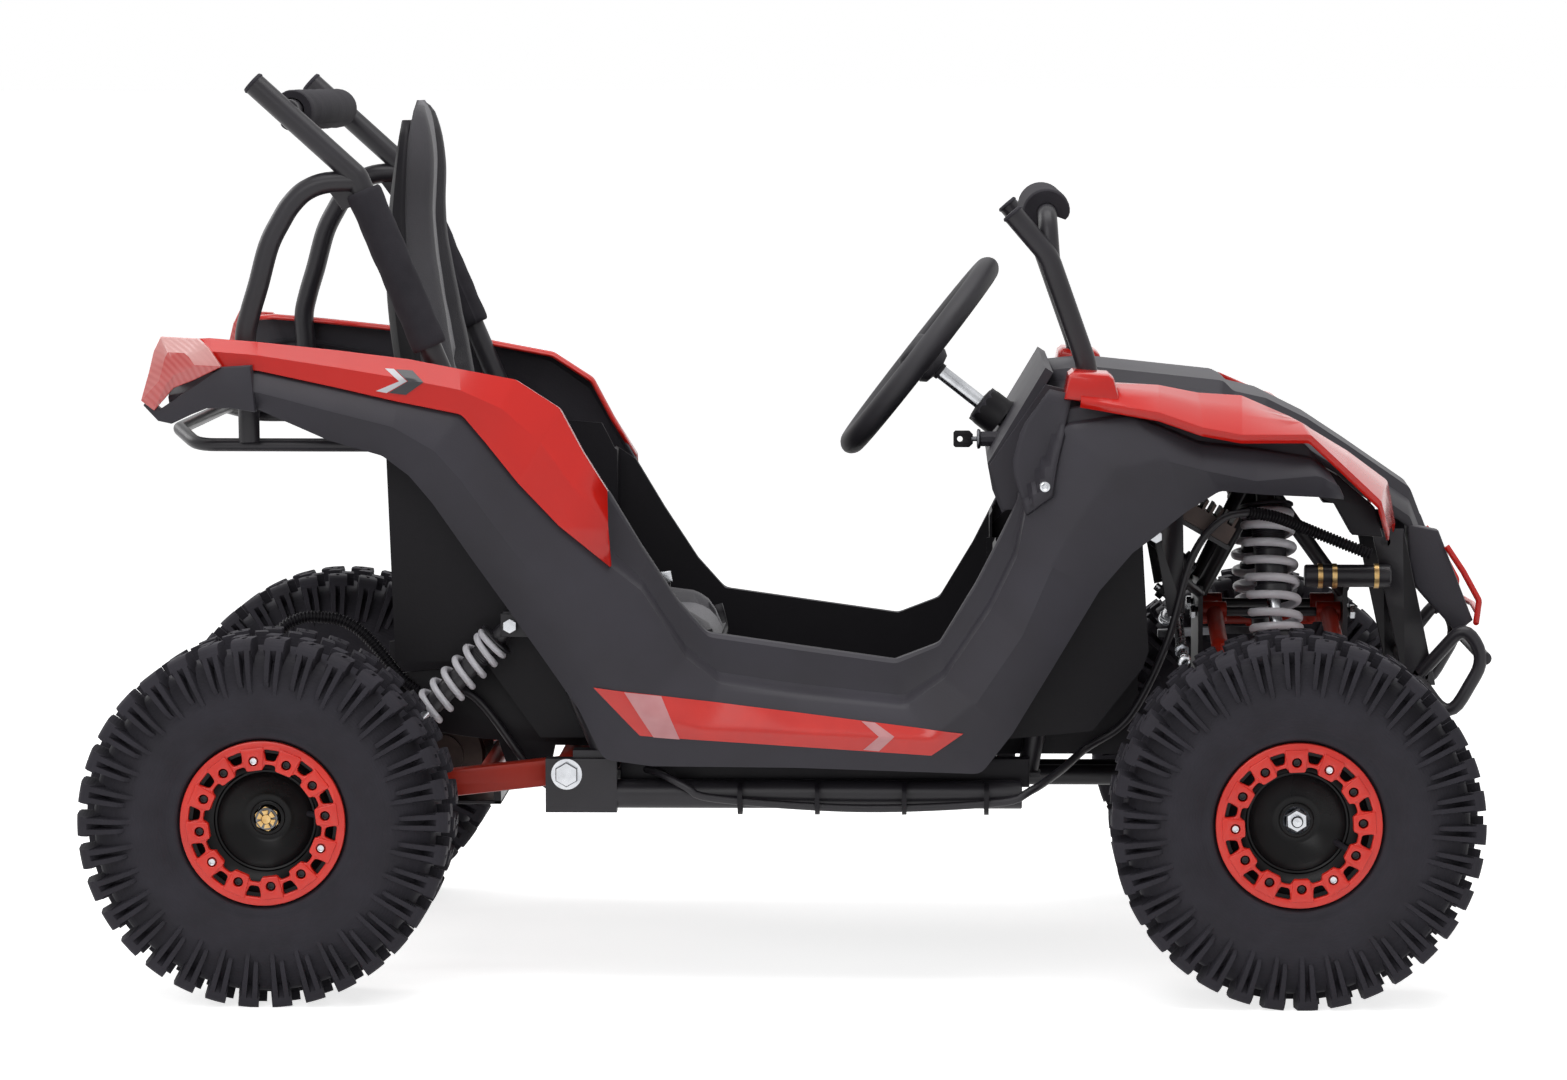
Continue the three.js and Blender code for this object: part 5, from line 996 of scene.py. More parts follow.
def rear_frame_parts():
    half = [
        tube([(leg_x(246), CAGE_Y, 246), (KINK[0], CAGE_Y, KINK[1]), (CAGE_TOP[0], CAGE_Y, CAGE_TOP[1])], 12, 16, 28),
        block((-234, CAGE_Y - 12, 238.3), (-190, CAGE_Y + 12, 246.3)),
        swept(eased([(x, CAGE_Y, z) for x, z in BRACE], 6), 11, 24),
        tube([(leg_x(566), CAGE_Y, 566), (-440, 256, 562), (-625, 250, 562), (-652, 190, 575), (-652, -1, 575)], 7, 30, 18),
        side_plate([(-470, 806), (-440, 816), (-448, 838), (-478, 842), (-492, 836)], CAGE_Y - 4, CAGE_Y + 4, 0.8),
    ]
    for y0, y1 in ((224.5, 229), (251, 255.5)):
        lug = [(-310, 362), (-290, 362), (leg_x(362), 362), (leg_x(386), 386), (-310, 386)]
        half.append(side_plate(lug, y0, y1, 0.6))
    half.append(peg((-300, 225, 374), (-300, 263, 374), 4.2, 14))
    half.append(block((leg_x(366) - 4, 224.5, 364), (leg_x(366) + 8, 255.5, 384)))
    bar = peg((REAR_BAR_X, -CAGE_Y, REAR_BAR_Z), (REAR_BAR_X, CAGE_Y, REAR_BAR_Z), 12, 24)
    return joined(both(joined(*half)), bar)


piece("rear_cage", rear_frame_parts(), TUBE, replaces=["rear_frame"], bevel=0.5, segments=1)
ends = []
for side in (-1, 1):
    tip = Vector((CAGE_TOP[0], side * CAGE_Y, CAGE_TOP[1]))
    way = (tip - Vector((KINK[0], side * CAGE_Y, KINK[1]))).normalized()
    ends.append(turned([(0.05, -1), (12.6, -1), (12.9, 0.5), (11.5, 3), (0.05, 3.4)], 28, tip, way))
    ends.append(hexagon(8, 257, 264, (-300, 0, 374), (0, side, 0)))
piece("cage_caps", joined(*ends[0::2]), RUBBER)
piece("shock_top_bolts", joined(*ends[1::2]), ZINC, smooth=20)


def front_hoop_parts():
    leg = [(238, HOOP_Y, 216), (286, HOOP_Y, 470), (300, HOOP_Y, 641), (259, HOOP_Y, 757), (222, HOOP_Y, 800)]
    half = [tube(leg, 11, 60, 26), block((218, HOOP_Y - 16, 212.3), (252, HOOP_Y + 16, 218))]
    half.append(block((286, 215, 592), (297, 226.3, 606)))
    arch = [(262, -209, 745), (FRONT_BAR_X, -205, FRONT_BAR_Z), (FRONT_BAR_X, 205, FRONT_BAR_Z), (262, 209, 745)]
    return joined(both(joined(*half)), tube(arch, 10, 26, 24))


piece("front_hoop_tubes", front_hoop_parts(), TUBE, replaces=["front_hoop"], bevel=0.5, segments=1)
tips = []
for side in (-1, 1):
    tip = Vector((222, side * HOOP_Y, 800))
    way = (tip - Vector((259, side * HOOP_Y, 757))).normalized()
    tips.append(turned([(0.05, -1), (11.6, -1), (11.9, 0.5), (10.5, 2.6), (0.05, 3)], 28, tip, way))
piece("hoop_caps", joined(*tips), RUBBER)


skirt = [(-186, 206), (-186, 246), (-120, 244), (214, 236), (240, 236), (240, 206)]
piece("floor_skirt", both(side_plate(skirt, 236, 258, 2)), TUB, smooth=25)
guard = [
    (-470, 312), (-470, 290), (-440, 264), (-352, 250), (-318, 246), (-310, 222), (-262, 222), (-258, 241), (-205, 241),
    (-205, 330), (-300, 330),
]
piece("motor_guard", both(side_plate(guard, 186, 190, 0.8)), TUB, smooth=25)


# ---------------------------------------------------------------- foam pads and sleeves
def pad_part(x, z, inner, outer, start, end, half):
    """A slit foam tube, softly rounded at its ends and thicker in the middle of the arc."""
    rows = []
    stations = [(-half, 0.86), (-half + 2, 0.96), (-half + 7, 1.0)]
    stations += [(-half + 7 + (2 * half - 14) * i / 24, 1.0) for i in range(1, 24)]
    stations += [(half - 7, 1.0), (half - 2, 0.96), (half, 0.86)]
    for y, swell in stations:
        section = []
        for i in range(25):
            share = i / 24
            t = math.radians(start + (end - start) * share)
            soft = 1 - (abs(2 * share - 1) ** 8) * 0.3
            ripple = 0.5 * math.sin(y * 0.11 + share * 5) * math.sin(y * 0.043)
            r = inner + (outer - inner) * swell * soft + ripple
            section.append(Vector((x + r * math.cos(t), y, z + r * math.sin(t))))
        for i in range(25):
            t = math.radians(end + (start - end) * i / 24)
            section.append(Vector((x + inner * math.cos(t), y, z + inner * math.sin(t))))
        rows.append(section)
    return capped(rows)


pad = pad_part(REAR_BAR_X, REAR_BAR_Z, 13.4, 21.6, -128, 142, 225)
rear_pad = piece("rear_pad_foam", pad, FOAM, replaces=["rear_pad"], smooth=50)
pad = pad_part(FRONT_BAR_X, FRONT_BAR_Z, 10.6, 25.6, -20, 230, 175)
front_pad = piece("front_pad_foam", pad, FOAM, replaces=["front_pad"], smooth=50)


def sleeve_part():
    """Foam sleeve wrapped round the leg: a lap runs down its outer side where the edges are glued."""
    low, high = [Vector((leg_x(z), CAGE_Y, z)) for z in (664, 826)]
    long = (high - low).length
    levels = [(0, 0.9), (1.5, 0.97), (5, 1)] + [(5 + (long - 10) * i / 22, 1) for i in range(1, 22)]
    levels += [(long - 5, 1), (long - 1.5, 0.97), (long, 0.9)]
    rows = []
    for rise, swell in levels:
        section = []
        for i in range(64):
            t = 2 * math.pi * i / 64
            lap = 1.5 if 0.55 < (t / (2 * math.pi)) < 0.80 else 0.0
            crease = 0.55 * math.sin(rise * 0.16 + 3 * t) * math.sin(rise * 0.05 + t)
            r = (18.4 + lap + crease) * swell
            section.append(Vector((r * math.cos(t), r * math.sin(t), rise)))
        rows.append(section)
    rows += [ring(12.6, rise, 64) for rise in (long, 0)]
    return moved(looped(rows), along_axis(low, high - low))


for name, side in SIDES:
    made = piece(f"leg_sleeve.{name}", sided(sleeve_part(), side), FOAM, replaces=[f"cage_sleeve_{name}"], smooth=40)


# ---------------------------------------------------------------- bonnet with its mask and grille
# Stations from the dash to the nose: x, z, half width
BONNET = [
    (262.7, 636, 200), (305, 640, 200), (362, 634, 202), (446, 625, 202), (457, 614, 201), (492, 606, 194), (536, 584, 180),
    (580, 555, 160), (622, 526, 138), (648, 508, 124), (662, 472, 120), (690, 420, 118), (708, 384, 112), (699, 358, 106),
]
# From the right edge to the left: share of the half width, drop below the middle
CROWN = [
    (-1, 40), (-0.985, 30), (-0.9, 23), (-0.66, 15), (-0.6, 3), (0, 0), (0.6, 3), (0.66, 15), (0.9, 23), (0.985, 30),
    (1, 40),
]
bonnet_rows = []
for share, drop in CROWN:
    # low on the nose the drop fades out
    line = []
    for x, z, half in BONNET:
        line.append(Vector((x - drop * 0.15, share * half, z - drop * min(1, max(0.15, (z - 350) / 110)))))
    bonnet_rows.append(rounded(line, 10, 2))
walled(piece("bonnet_cover", grid(bonnet_rows), PANEL, replaces=["bonnet"], smooth=26), 3.2)

# A hood stands off the nose on both sides of the grille, with a red edge
hood = [(640, 470), (674, 463), (711, 368), (694, 354), (650, 404), (643, 432)]
piece("nose_mask", both(side_plate(hood, 92, 124, 3)), PANEL, smooth=30)
lattice = []
for i in range(13):
    y = -84 + 14 * i
    lattice.append(tube([(664, y, 460), (682, y, 428), (698, y, 392)], 1.5, 8, 8))
for i in range(7):
    x, z = 666 + 5.2 * i, 456 - 10.4 * i
    lattice.append(peg((x, -88, z), (x, 88, z), 1.5, 8))
piece("grille_mesh", joined(*lattice), TUBE, smooth=40)
edge = []
for y in (-126, 126):
    edge.append(swept(rounded([(682, y, 447), (700, y, 420), (717, y, 389), (714, y, 366)], 8), 3.4, 12))
chin = [(714, -126, 366), (720, -80, 372), (722, 0, 374), (720, 80, 372), (714, 126, 366)]
edge.append(swept(rounded(chin, 10), 3.4, 12))
piece("nose_edge", joined(*edge), RED, smooth=40)


# ---------------------------------------------------------------- dash, key and steering
TILT = math.radians(38)


def column(s, up=0.0, y=0.0):
    """A point on the steering column: s along it towards the nose, up across it."""
    return Vector((124.5 + s * math.cos(TILT) + up * math.sin(TILT), y, 642.5 - s * math.sin(TILT) + up * math.cos(TILT)))


AIM = Vector((math.cos(TILT), 0, -math.sin(TILT)))


RIM_RADIUS, GRIP_RADIUS = 118, 12.9


def rim_part():
    """Grip ring, oval in section."""
    rows = []
    for i in range(96):
        t = 2 * math.pi * i / 96
        section = []
        for j in range(28):
            p = 2 * math.pi * j / 28
            r = RIM_RADIUS + GRIP_RADIUS * (1 + 0.05 * math.cos(2 * p)) * math.cos(p)
            section.append(Vector((r * math.cos(t), r * math.sin(t), GRIP_RADIUS * math.sin(p))))
        rows.append(section)
    return looped(rows)


to_wheel = along_axis(column(0), AIM)
piece("wheel_grip", moved(rim_part(), to_wheel), GRIP, body="steering", replaces=["steering_wheel"], smooth=60)
spokes = []
for turn in (180, 60, -60):
    t = math.radians(turn)
    start = Vector((16 * math.cos(t), 16 * math.sin(t), 10))
    reach = RIM_RADIUS - 4
    end = Vector((reach * math.cos(t), reach * math.sin(t), 0))
    side_step = Vector((-math.sin(t), math.cos(t), 0))
    rows = []
    for k in range(9):
        u = k / 8
        wide = 13 - 5 * math.sin(math.pi * min(u * 1.15, 1)) * 0.9
        tall = 5.5 - 1.8 * u
        middle = start.lerp(end, u) + Vector((0, 0, -3 * math.sin(math.pi * u)))
        turns = [2 * math.pi * m / 16 for m in range(16)]
        rows.append([middle + side_step * wide * math.cos(q) + Vector((0, 0, tall * math.sin(q))) for q in turns])
    spokes.append(capped(rows))
HUB = [(0.05, -16), (15, -15.6), (19, -13.4), (21.6, -9), (22, 18), (18, 24), (9.2, 26), (9.2, 30), (0.05, 30)]
spokes.append(turned(HUB, 48))
piece("wheel_spokes", moved(joined(*spokes), to_wheel), GRIP, body="steering", smooth=40)
piece("column_tube", peg(column(26), column(86), 8, 32), ZINC, body="steering", smooth=30)
shaft = [peg(column(84), column(371), 8, 24), turned([(0.05, 0), (13, 0), (13, 8), (0.05, 8)], 32, column(360), AIM)]
shaft.append(turned([(8, 0), (11.5, 1), (11.5, 9), (8, 10)], 24, column(88), AIM))
# The arm at the column's foot, that both tie rods hang on
PITMAN = 39.24
top_arc = [math.radians(a) for a in range(-60, 241, 20)]
low_arc = [math.radians(a) for a in range(200, 341, 20)]
outline = [(13 * math.cos(t), 13 * math.sin(t)) for t in top_arc]
outline += [(9 * math.cos(t), -PITMAN + 9 * math.sin(t)) for t in low_arc]
shaft.append(capped([[column(s, up, y) for y, up in outline] for s in (360.5, 367.5)]))
piece("steering_shaft", joined(*shaft), TUBE, body="steering", smooth=30)
nuts = [hexagon(8, 0, 6, column(371), AIM), peg(column(355, -PITMAN), column(374, -PITMAN), 4.5, 16)]
piece("pitman_nut", joined(*nuts), ZINC, body="steering", smooth=20)

# Dash keeps its CAD shell; seam, screws and the column's cap are laid on it
details = []
for y in (-230, 230):
    seam = [Vector((270, y * 1.031, 592)), Vector((252, y * 1.031, 556)), Vector((240, y * 1.031, 512))]
    details.append(swept(seam, 1.1, 8))
    screw = [(0.05, 1.4), (2, 1.4), (3.4, 2.6), (5.2, 2), (6.2, 0), (0.05, 0)]
    details.append(turned(screw, 20, (232, y * 1.0285, 508), (0, y, 0)))
piece("dash_seams", joined(*details), TUBE, smooth=40)
cap = turned([(9, 82), (17, 83), (20.4, 86), (21.5, 92), (21.5, 108), (24, 112), (9, 112)], 40)
piece("column_cap", moved(cap, to_wheel), TUB, smooth=35)
bow = [(161, 549), (163, 547), (178, 547), (182, 551), (182, 561), (178, 565), (163, 565), (161, 563)]
bow = side_plate(bow, -61.6, -58.4, 0.9, [circle(3, 16, 168, 556)])
piece("key_bow", bow, TUB, body="key", replaces=["ignition_key"], smooth=30)
piece("key_blade", peg((180, -60, 556), (190, -60, 556), 2.6, 16), STEEL, body="key", smooth=30)
barrel = [(8.2, 0), (10.5, 0.6), (10.8, 2.4), (9.6, 4), (8.3, 4.2)]
piece("lock_ring", turned(barrel, 32, (186, -60, 556), AHEAD), STEEL, smooth=30)


# ---------------------------------------------------------------- seat
# From the front edge to the top: the shell's line in X and Z, its half width, the cushion's thickness
SEAT_LINE = [
    (-88, 334), (-150, 318), (-230, 314), (-300, 322), (-345, 352), (-372, 410), (-392, 480), (-412, 560), (-428, 640),
    (-438, 720), (-437, 790), (-430, 850), (-420, 919),
]
SEAT_HALF = [140, 156, 162, 162, 158, 154, 152, 150, 142, 124, 108, 100, 84]
SEAT_THICK = [44, 64, 58, 56, 62, 60, 58, 56, 58, 54, 44, 38, 28]


# Across the shell: share of its half width, and how far it is turned up there
SHELL_EDGE = [
    (-1, 27), (-0.995, 18), (-0.97, 8), (-0.92, 2.4), (-0.84, 0.4), (-0.5, 0), (0, 0), (0.5, 0), (0.84, 0.4), (0.92, 2.4),
    (0.97, 8), (0.995, 18), (1, 27),
]


def seat_stations(cuts):
    """Point, direction into the cushion, half width, thickness and way run, at each station."""
    line = eased([(x, 0, z) for x, z in SEAT_LINE], cuts)
    sizes = eased([(h, t, 0) for h, t in zip(SEAT_HALF, SEAT_THICK)], cuts)
    found = []
    run = 0.0
    for i, p in enumerate(line):
        way = (line[min(i + 1, len(line) - 1)] - line[max(i - 1, 0)]).normalized()
        if i:
            run += (p - line[i - 1]).length
        found.append((p, Vector((way.z, 0, -way.x)), sizes[i].x, sizes[i].y, run))
    return found


def shell_part():
    rows = []
    stations = seat_stations(5)
    whole = stations[-1][-1]
    # the last two stations are left out: there the cushion's top stands over the shell
    for p, normal, half, _, run in stations[:-2]:
        fade = min(1, 0.12 + (whole - run) / 260)
        half *= 0.72 + 0.28 * min(1, (whole - run) / 60) ** 0.5
        rows.append([p + normal * lift * fade + Vector((0, share * half, 0)) for share, lift in SHELL_EDGE])
    return grid(rows)


walled(piece("seat_back_shell", shell_part(), TUB, replaces=["seat_shell"], smooth=30), 4, 1)

# Where the sewn channels cross the cushion, along its way from the front edge
CHANNELS = [118, 182, 246, 308, 420, 488, 556]


def cushion_part():
    """Two-tone cushion: padded middle with sewn channels across, and bolsters that stand up at the sides."""
    stations = seat_stations(9)
    whole = stations[-1][-1]
    rows = []
    count = 44
    for p, normal, half, thick, run in stations:
        half = half - 6
        end = min(run, whole - run)
        top = math.sqrt(max(0.0, 1 - (1 - min((whole - run) / 70, 1)) ** 2))
        close = min(math.sqrt(max(0.0, 1 - (1 - min(run / 26, 1)) ** 2)), top)
        half *= 0.72 + 0.28 * top
        row = []
        channel = min(abs(run - c) for c in CHANNELS)
        quilt = 1 - math.exp(-((channel / 7) ** 2))
        for j in range(count):
            t = j / count
            if t < 0.7:
                s = -1 + 2 * t / 0.7
                inside = abs(s) < 0.6
                bolster = math.exp(-(((abs(s) - 0.80) / 0.17) ** 2))
                edge = (1 - abs(s) ** 9) ** 0.45 if abs(s) < 1 else 0
                seam = 1 - 0.35 * math.exp(-(((abs(s) - 0.6) / 0.035) ** 2))
                crown = 0.72 + 0.06 * (1 - (s / 0.6) ** 2) * inside + 0.34 * bolster
                pressed = 1 - 0.18 * inside * (1 - quilt)
                wrinkle = 0.008 * math.sin(run * 0.10 + s * 9) * math.sin(run * 0.031 + 2 * s)
                high = 7 + (thick - 7) * (crown * seam * pressed + wrinkle) * edge
                wide = half * (0.5 + 0.5 * close) if end < 8 else half
                row.append(p + normal * (7 + (high - 7) * close) + Vector((0, s * wide, 0)))
            else:
                s = 1 - 2 * (t - 0.7) / 0.3
                row.append(p + normal * 6.6 + Vector((0, s * half * 0.93, 0)))
        rows.append(row)
    return rows


rows = cushion_part()
looks = [SEAT_LIGHT, SEAT_DARK]
cushion = piece("seat_upholstery", capped(rows), looks, replaces=["seat_cushion"], smooth=60)
count = len(rows[0])
for poly in cushion.data.polygons:
    centre = sum((cushion.data.vertices[i].co for i in poly.vertices), Vector()) / len(poly.vertices)
    i = min(poly.vertices) // count
    half = max(abs(p.y) for p in rows[min(i, len(rows) - 1)]) * mm
    poly.material_index = 1 if abs(centre.y) > 0.6 * half else 0
stem = swept(eased([(-158, -128, 330), (-154, -129, 365), (-147, -129, 398)], 4), 5, 12)
buckle = moved(block((-7, -5, -9), (7, 5, 9)), Matrix.Translation((-146, -129, 400)))
piece("buckle_stem", joined(stem, buckle), TUB, smooth=30, bevel=1.5)
tongue = [(-156, 412), (-154, 418), (-139, 420), (-137, 409), (-150, 406)]
piece("buckle_tongue", side_plate(tongue, -130, -127, 0.6), ZINC, smooth=25)


# ---------------------------------------------------------------- coil-over shock absorbers
def bushing(s, at):
    """Eye with its steel sleeve: a ring round the bolt."""
    r, w = s["eye"], s["wide"] / 2
    eye = [(r - 3.2, -w + 2), (r - 0.8, -w + 1.6), (r, -w + 3), (r, w - 3), (r - 0.8, w - 1.6), (r - 3.2, w - 2)]
    sleeve = [(4.6, -w), (6.4, -w), (6.4, w), (4.6, w)]
    return turned(eye, 32, (0, 0, at), (0, 1, 0)), turned(sleeve, 24, (0, 0, at), (0, 1, 0))


def spring_part(s, low, high):
    """Helix whose end turns lie flat on the seats."""
    radius, wire = s["coil"] - s["wire"], s["wire"]
    turns, rise = s["turns"], high - low - 2 * s["wire"] - 1
    route = []
    steps = int(turns * 36)
    for i in range(steps + 1):
        share = i / steps
        t = 2 * math.pi * turns * share
        lead = 0.9 / turns
        if share < lead:
            climb = 0.35 * (share / lead) ** 2 * lead
        elif share > 1 - lead:
            climb = 1 - 0.35 * ((1 - share) / lead) ** 2 * lead
        else:
            climb = 0.35 * lead + (share - lead) / (1 - 2 * lead) * (1 - 0.7 * lead)
        route.append(Vector((radius * math.cos(t), radius * math.sin(t), low + 0.5 + wire + rise * climb)))
    rows = []
    for i, p in enumerate(route):
        way = (route[min(i + 1, steps)] - route[max(i - 1, 0)]).normalized()
        out = Vector((p.x, p.y, 0)).normalized()
        up = way.cross(out)
        section = [2 * math.pi * k / 14 for k in range(14)]
        rows.append([p + (out * math.cos(q) + up * math.sin(q)) * wire for q in section])
    return capped(rows)


for end, s in SHOCKS.items():
    place, span = lean(s)
    low_seat, high_seat = s["low_seat"], span - s["high_seat"]
    third = low_seat + (high_seat - low_seat) / 3
    r, coil, wire, eye, tube_r = s["rod"], s["coil"], s["wire"], s["eye"], s["tube"]
    base, brim = low_seat - wire, coil - wire * 2.2
    low_ring, low_sleeve = bushing(s, 0)
    top_ring, top_sleeve = bushing(s, span)
    neck = [(0.05, eye / 2), (r * 1.15, eye / 2), (r * 1.5, eye + 2), (r * 1.5, base - 1), (0.05, base - 1)]
    seat = [
        (r * 0.9, base), (coil - 2, base), (coil, base + 1.5), (coil, low_seat - 0.6), (brim, low_seat),
        (brim, low_seat + 2.6), (r * 0.9, low_seat + 2.6),
    ]
    bar = turned([(0.05, base), (r, base), (r, high_seat - span / 5), (0.05, high_seat - span / 5)], 28)
    barrel = [
        (r + 0.6, third), (tube_r - 1.5, third), (tube_r, third + 2), (tube_r, high_seat - 1), (r + 0.6, high_seat - 1),
    ]
    cup = [
        (r, high_seat - 2.6), (brim, high_seat - 2.6), (brim, high_seat), (coil, high_seat + 0.6),
        (coil, high_seat + wire - 1.5), (coil - 2, high_seat + wire), (eye, high_seat + wire), (eye, span - eye * 0.8),
        (r, span - eye * 0.8),
    ]
    kept = [low_ring, turned(neck, 28), turned(seat, 48)]
    tops = [top_ring, turned(barrel, 36), turned(cup, 48)]
    rise = high_seat - (46 if end == "front" else 30)
    while rise < high_seat - 4:
        tops.append(turned([(tube_r - 0.6, rise), (tube_r + 0.8, rise + 0.8), (tube_r - 0.6, rise + 1.6)], 32))
        rise += 2.2
    if end == "front":
        collar = [(tube_r, third - 3), (tube_r + 2.5, third - 2), (tube_r + 2.5, third + 7), (tube_r, third + 8)]
        tops.append(turned(collar, 36))
    coil_part = moved(spring_part(s, low_seat, high_seat), place)
    for name, side in SIDES:
        body, lower = f"{end}_damper_{name}", f"{end}_piston_{name}"
        top, foot = [sided(moved(joined(*parts), place), side) for parts in (tops, kept)]
        piece(f"{end}_damper_tube.{name}", top, TUBE, body, [f"{end}_shock_body_{name}"])
        piece(f"{end}_damper_eye.{name}", foot, TUBE, lower, [f"{end}_shock_rod_{name}"])
        piece(f"{end}_damper_rod.{name}", sided(moved(joined(bar, low_sleeve), place), side), ZINC, lower)
        piece(f"{end}_top_sleeve.{name}", sided(moved(top_sleeve, place), side), ZINC, body)
        coil_piece = piece(f"{end}_coil.{name}", sided(coil_part, side), SPRING, None, [f"{end}_spring_{name}"], smooth=60)
        high, low = [place @ Vector((0, 0, at)) for at in (high_seat, low_seat)]
        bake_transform(coil_piece)


# ---------------------------------------------------------------- swing arm, motor, chain and rear axle
AXLE = (REAR_X, 0, AXLE_Z)
MOTOR_X, MOTOR_Z, CHAIN_Y = -390, 213.3, 75
LINK_PITCH = 9.5


def arm_z(x):
    return SWING_Z + (AXLE_Z - SWING_Z) * (x - SWING_X) / (REAR_X - SWING_X)


def swing_half():
    leg = [
        (SWING_X, SWING_Z - 14), (SWING_X + 8, SWING_Z - 9), (SWING_X + 8, SWING_Z + 9), (SWING_X, SWING_Z + 14),
        (REAR_X, AXLE_Z + 14), (REAR_X, AXLE_Z - 14),
    ]
    boss = [(14.2, 228), (24, 228), (25, 229.5), (25, 250.5), (24, 252), (14.2, 252)]
    parts = [side_plate(leg, 228, 252, 3), turned(boss, 40, AXLE, OUT)]
    lug = [(-451, arm_z(-451)), (-423, arm_z(-423)), (-428, 243), (-434, 246), (-440, 246), (-446, 243)]
    for y0, y1 in ((225, 229), (251, 255)):
        parts.append(side_plate(lug, y0, y1, 0.6))
    return parts


half = joined(*swing_half())
across = []
for x in (-330, -450):
    across.append(peg((x, -SWING_Y, arm_z(x)), (x, SWING_Y, arm_z(x)), 10, 20))
across.append(turned([(7.6, -254), (16, -254), (16, 254), (7.6, 254)], 32, (SWING_X, 0, SWING_Z), OUT))
piece("swing_arm_legs", joined(both(half), *across), ARM, body="swing", replaces=["swing_arm"], smooth=35)
cradle = [block((-454, -60, 161), (-326, 60, 165))]
for x in (-330, -450):
    cradle.append(block((x - 4, -60, 161), (x + 4, 60, arm_z(x))))
piece("motor_cradle", joined(*cradle), TUBE, body="swing", bevel=0.8)
jaw = [(-494, 178), (-488, 172), (-456, 172), (-448, 178), (-448, 204), (-458, 212), (-486, 212), (-494, 204)]
caliper = [side_plate(jaw, y, y + 12, 2) for y in (-89, -73)] + [block((-460, -80, 184), (-448, -70, 208))]
piece("brake_caliper", joined(*caliper), DISH, body="swing", smooth=30)
fins = [(0.05, -68), (24, -68), (24, -60), (44, -60), (47, -57), (47, -50)]
for i in range(12):
    y = -48 + 8 * i
    fins += [(44.5, y), (48, y + 0.8), (48, y + 3.6), (44.5, y + 4.4)]
fins += [(47, 50), (47, 57), (44, 60), (0.05, 60)]
piece("motor_case", turned(fins, 48, (MOTOR_X, 0, MOTOR_Z), OUT), FIN, body="swing", replaces=["motor"], smooth=30)


# The CAD chain's own box gives the radii, so the links lie where it lies
chain_low, chain_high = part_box("chain")
big = REAR_X - chain_low[0] / mm - 3
small = chain_high[0] / mm - MOTOR_X - 3


def chain_links():
    """Roller chain round both sprockets: inner and outer links in turn, with pins and rollers."""
    axle, drive = Vector((REAR_X, AXLE_Z)), Vector((MOTOR_X, MOTOR_Z))
    gap = drive - axle
    aim, wide = math.atan2(gap.y, gap.x), math.acos((big - small) / gap.length)
    route = []
    wraps = ((axle, big, aim + wide, aim - wide + 2 * math.pi), (drive, small, aim - wide, aim + wide))
    for centre, r, start, end in wraps:
        for i in range(41):
            t = start + (end - start) * i / 40
            route.append(centre + Vector((math.cos(t), math.sin(t))) * r)
    route.append(route[0])
    total = sum((b - a).length for a, b in zip(route, route[1:]))
    count = 2 * round(total / LINK_PITCH / 2)
    spots = resampled(route, 0, count)[:count]
    parts = []
    for i, p in enumerate(spots):
        q = spots[(i + 1) % count]
        way = (q - p).normalized()
        over = Vector((-way.y, way.x))
        outline = []
        for centre, facing in ((p, 180), (q, 0)):
            for k in range(-2, 3):
                t = math.radians(facing + k * 36)
                outline.append(centre + way * 2.9 * math.cos(t) + over * 2.9 * math.sin(t))
        out = 3.6 if i % 2 else 2.5
        for y in (CHAIN_Y - out, CHAIN_Y + out):
            parts.append(capped([[Vector((v.x, y + step, v.y)) for v in outline] for step in (-0.5, 0.5)]))
        for reach, r, steps in ((4.2, 1.5, 8), (2, 2.5, 10)):
            parts.append(peg((p.x, CHAIN_Y - reach, p.y), (p.x, CHAIN_Y + reach, p.y), r, steps, 0.2))
    return joined(*parts)


piece("roller_chain", chain_links(), STEEL, body="swing", replaces=["chain"], smooth=35)
shaft = turned([(0.05, -381), (11, -381.3), (12.4, -379), (12.4, 379), (11, 381.3), (0.05, 381)], 32, AXLE, OUT)
disc_holes = []
for i in range(24):
    t = 2 * math.pi * i / 24
    r = 50 if i % 2 else 60
    disc_holes.append(circle(3, 10, r * math.cos(t), r * math.sin(t)))
at_disc = Matrix.Translation((REAR_X, -75, AXLE_Z)) @ UPRIGHT
disc = plate([circle(69.8, 96), circle(30, 40), *disc_holes], 4, at_disc, 0.4)
hub = turned([(12.6, -90), (24, -90), (24, -79), (34, -78), (34, -72), (12.6, -72)], 40, AXLE, OUT)
teeth_r = REAR_X - chain_low[0] / mm - 6.8
teeth_count = max(12, round(2 * math.pi * teeth_r / LINK_PITCH))
outline = []
for i in range(teeth_count * 4):
    t = 2 * math.pi * i / (teeth_count * 4)
    r = teeth_r - (0, 2.6, 2.6, 0)[i % 4]
    outline.append((r * math.cos(t), r * math.sin(t)))
windows = []
for i in range(6):
    t = math.pi * i / 3
    windows.append(circle(0.17 * teeth_r, 16, 0.66 * teeth_r * math.cos(t), 0.66 * teeth_r * math.sin(t)))
at_chain = Matrix.Translation((REAR_X, CHAIN_Y, AXLE_Z)) @ UPRIGHT
wheel_plate = plate([outline, circle(13, 24), *windows], 4, at_chain, 0.5)
hub_left = turned([(12.6, 60), (22, 60), (22, 73), (28, 73), (28, 77.5), (12.6, 77.5)], 40, AXLE, OUT)
on_axle = joined(shaft, disc, hub, wheel_plate, hub_left)
piece("rear_axle_shaft", on_axle, STEEL, body="rear_wheels", replaces=["rear_axle"], smooth=35)


# ---------------------------------------------------------------- front suspension
ARM_X, ARM_SPREAD = 502, 61


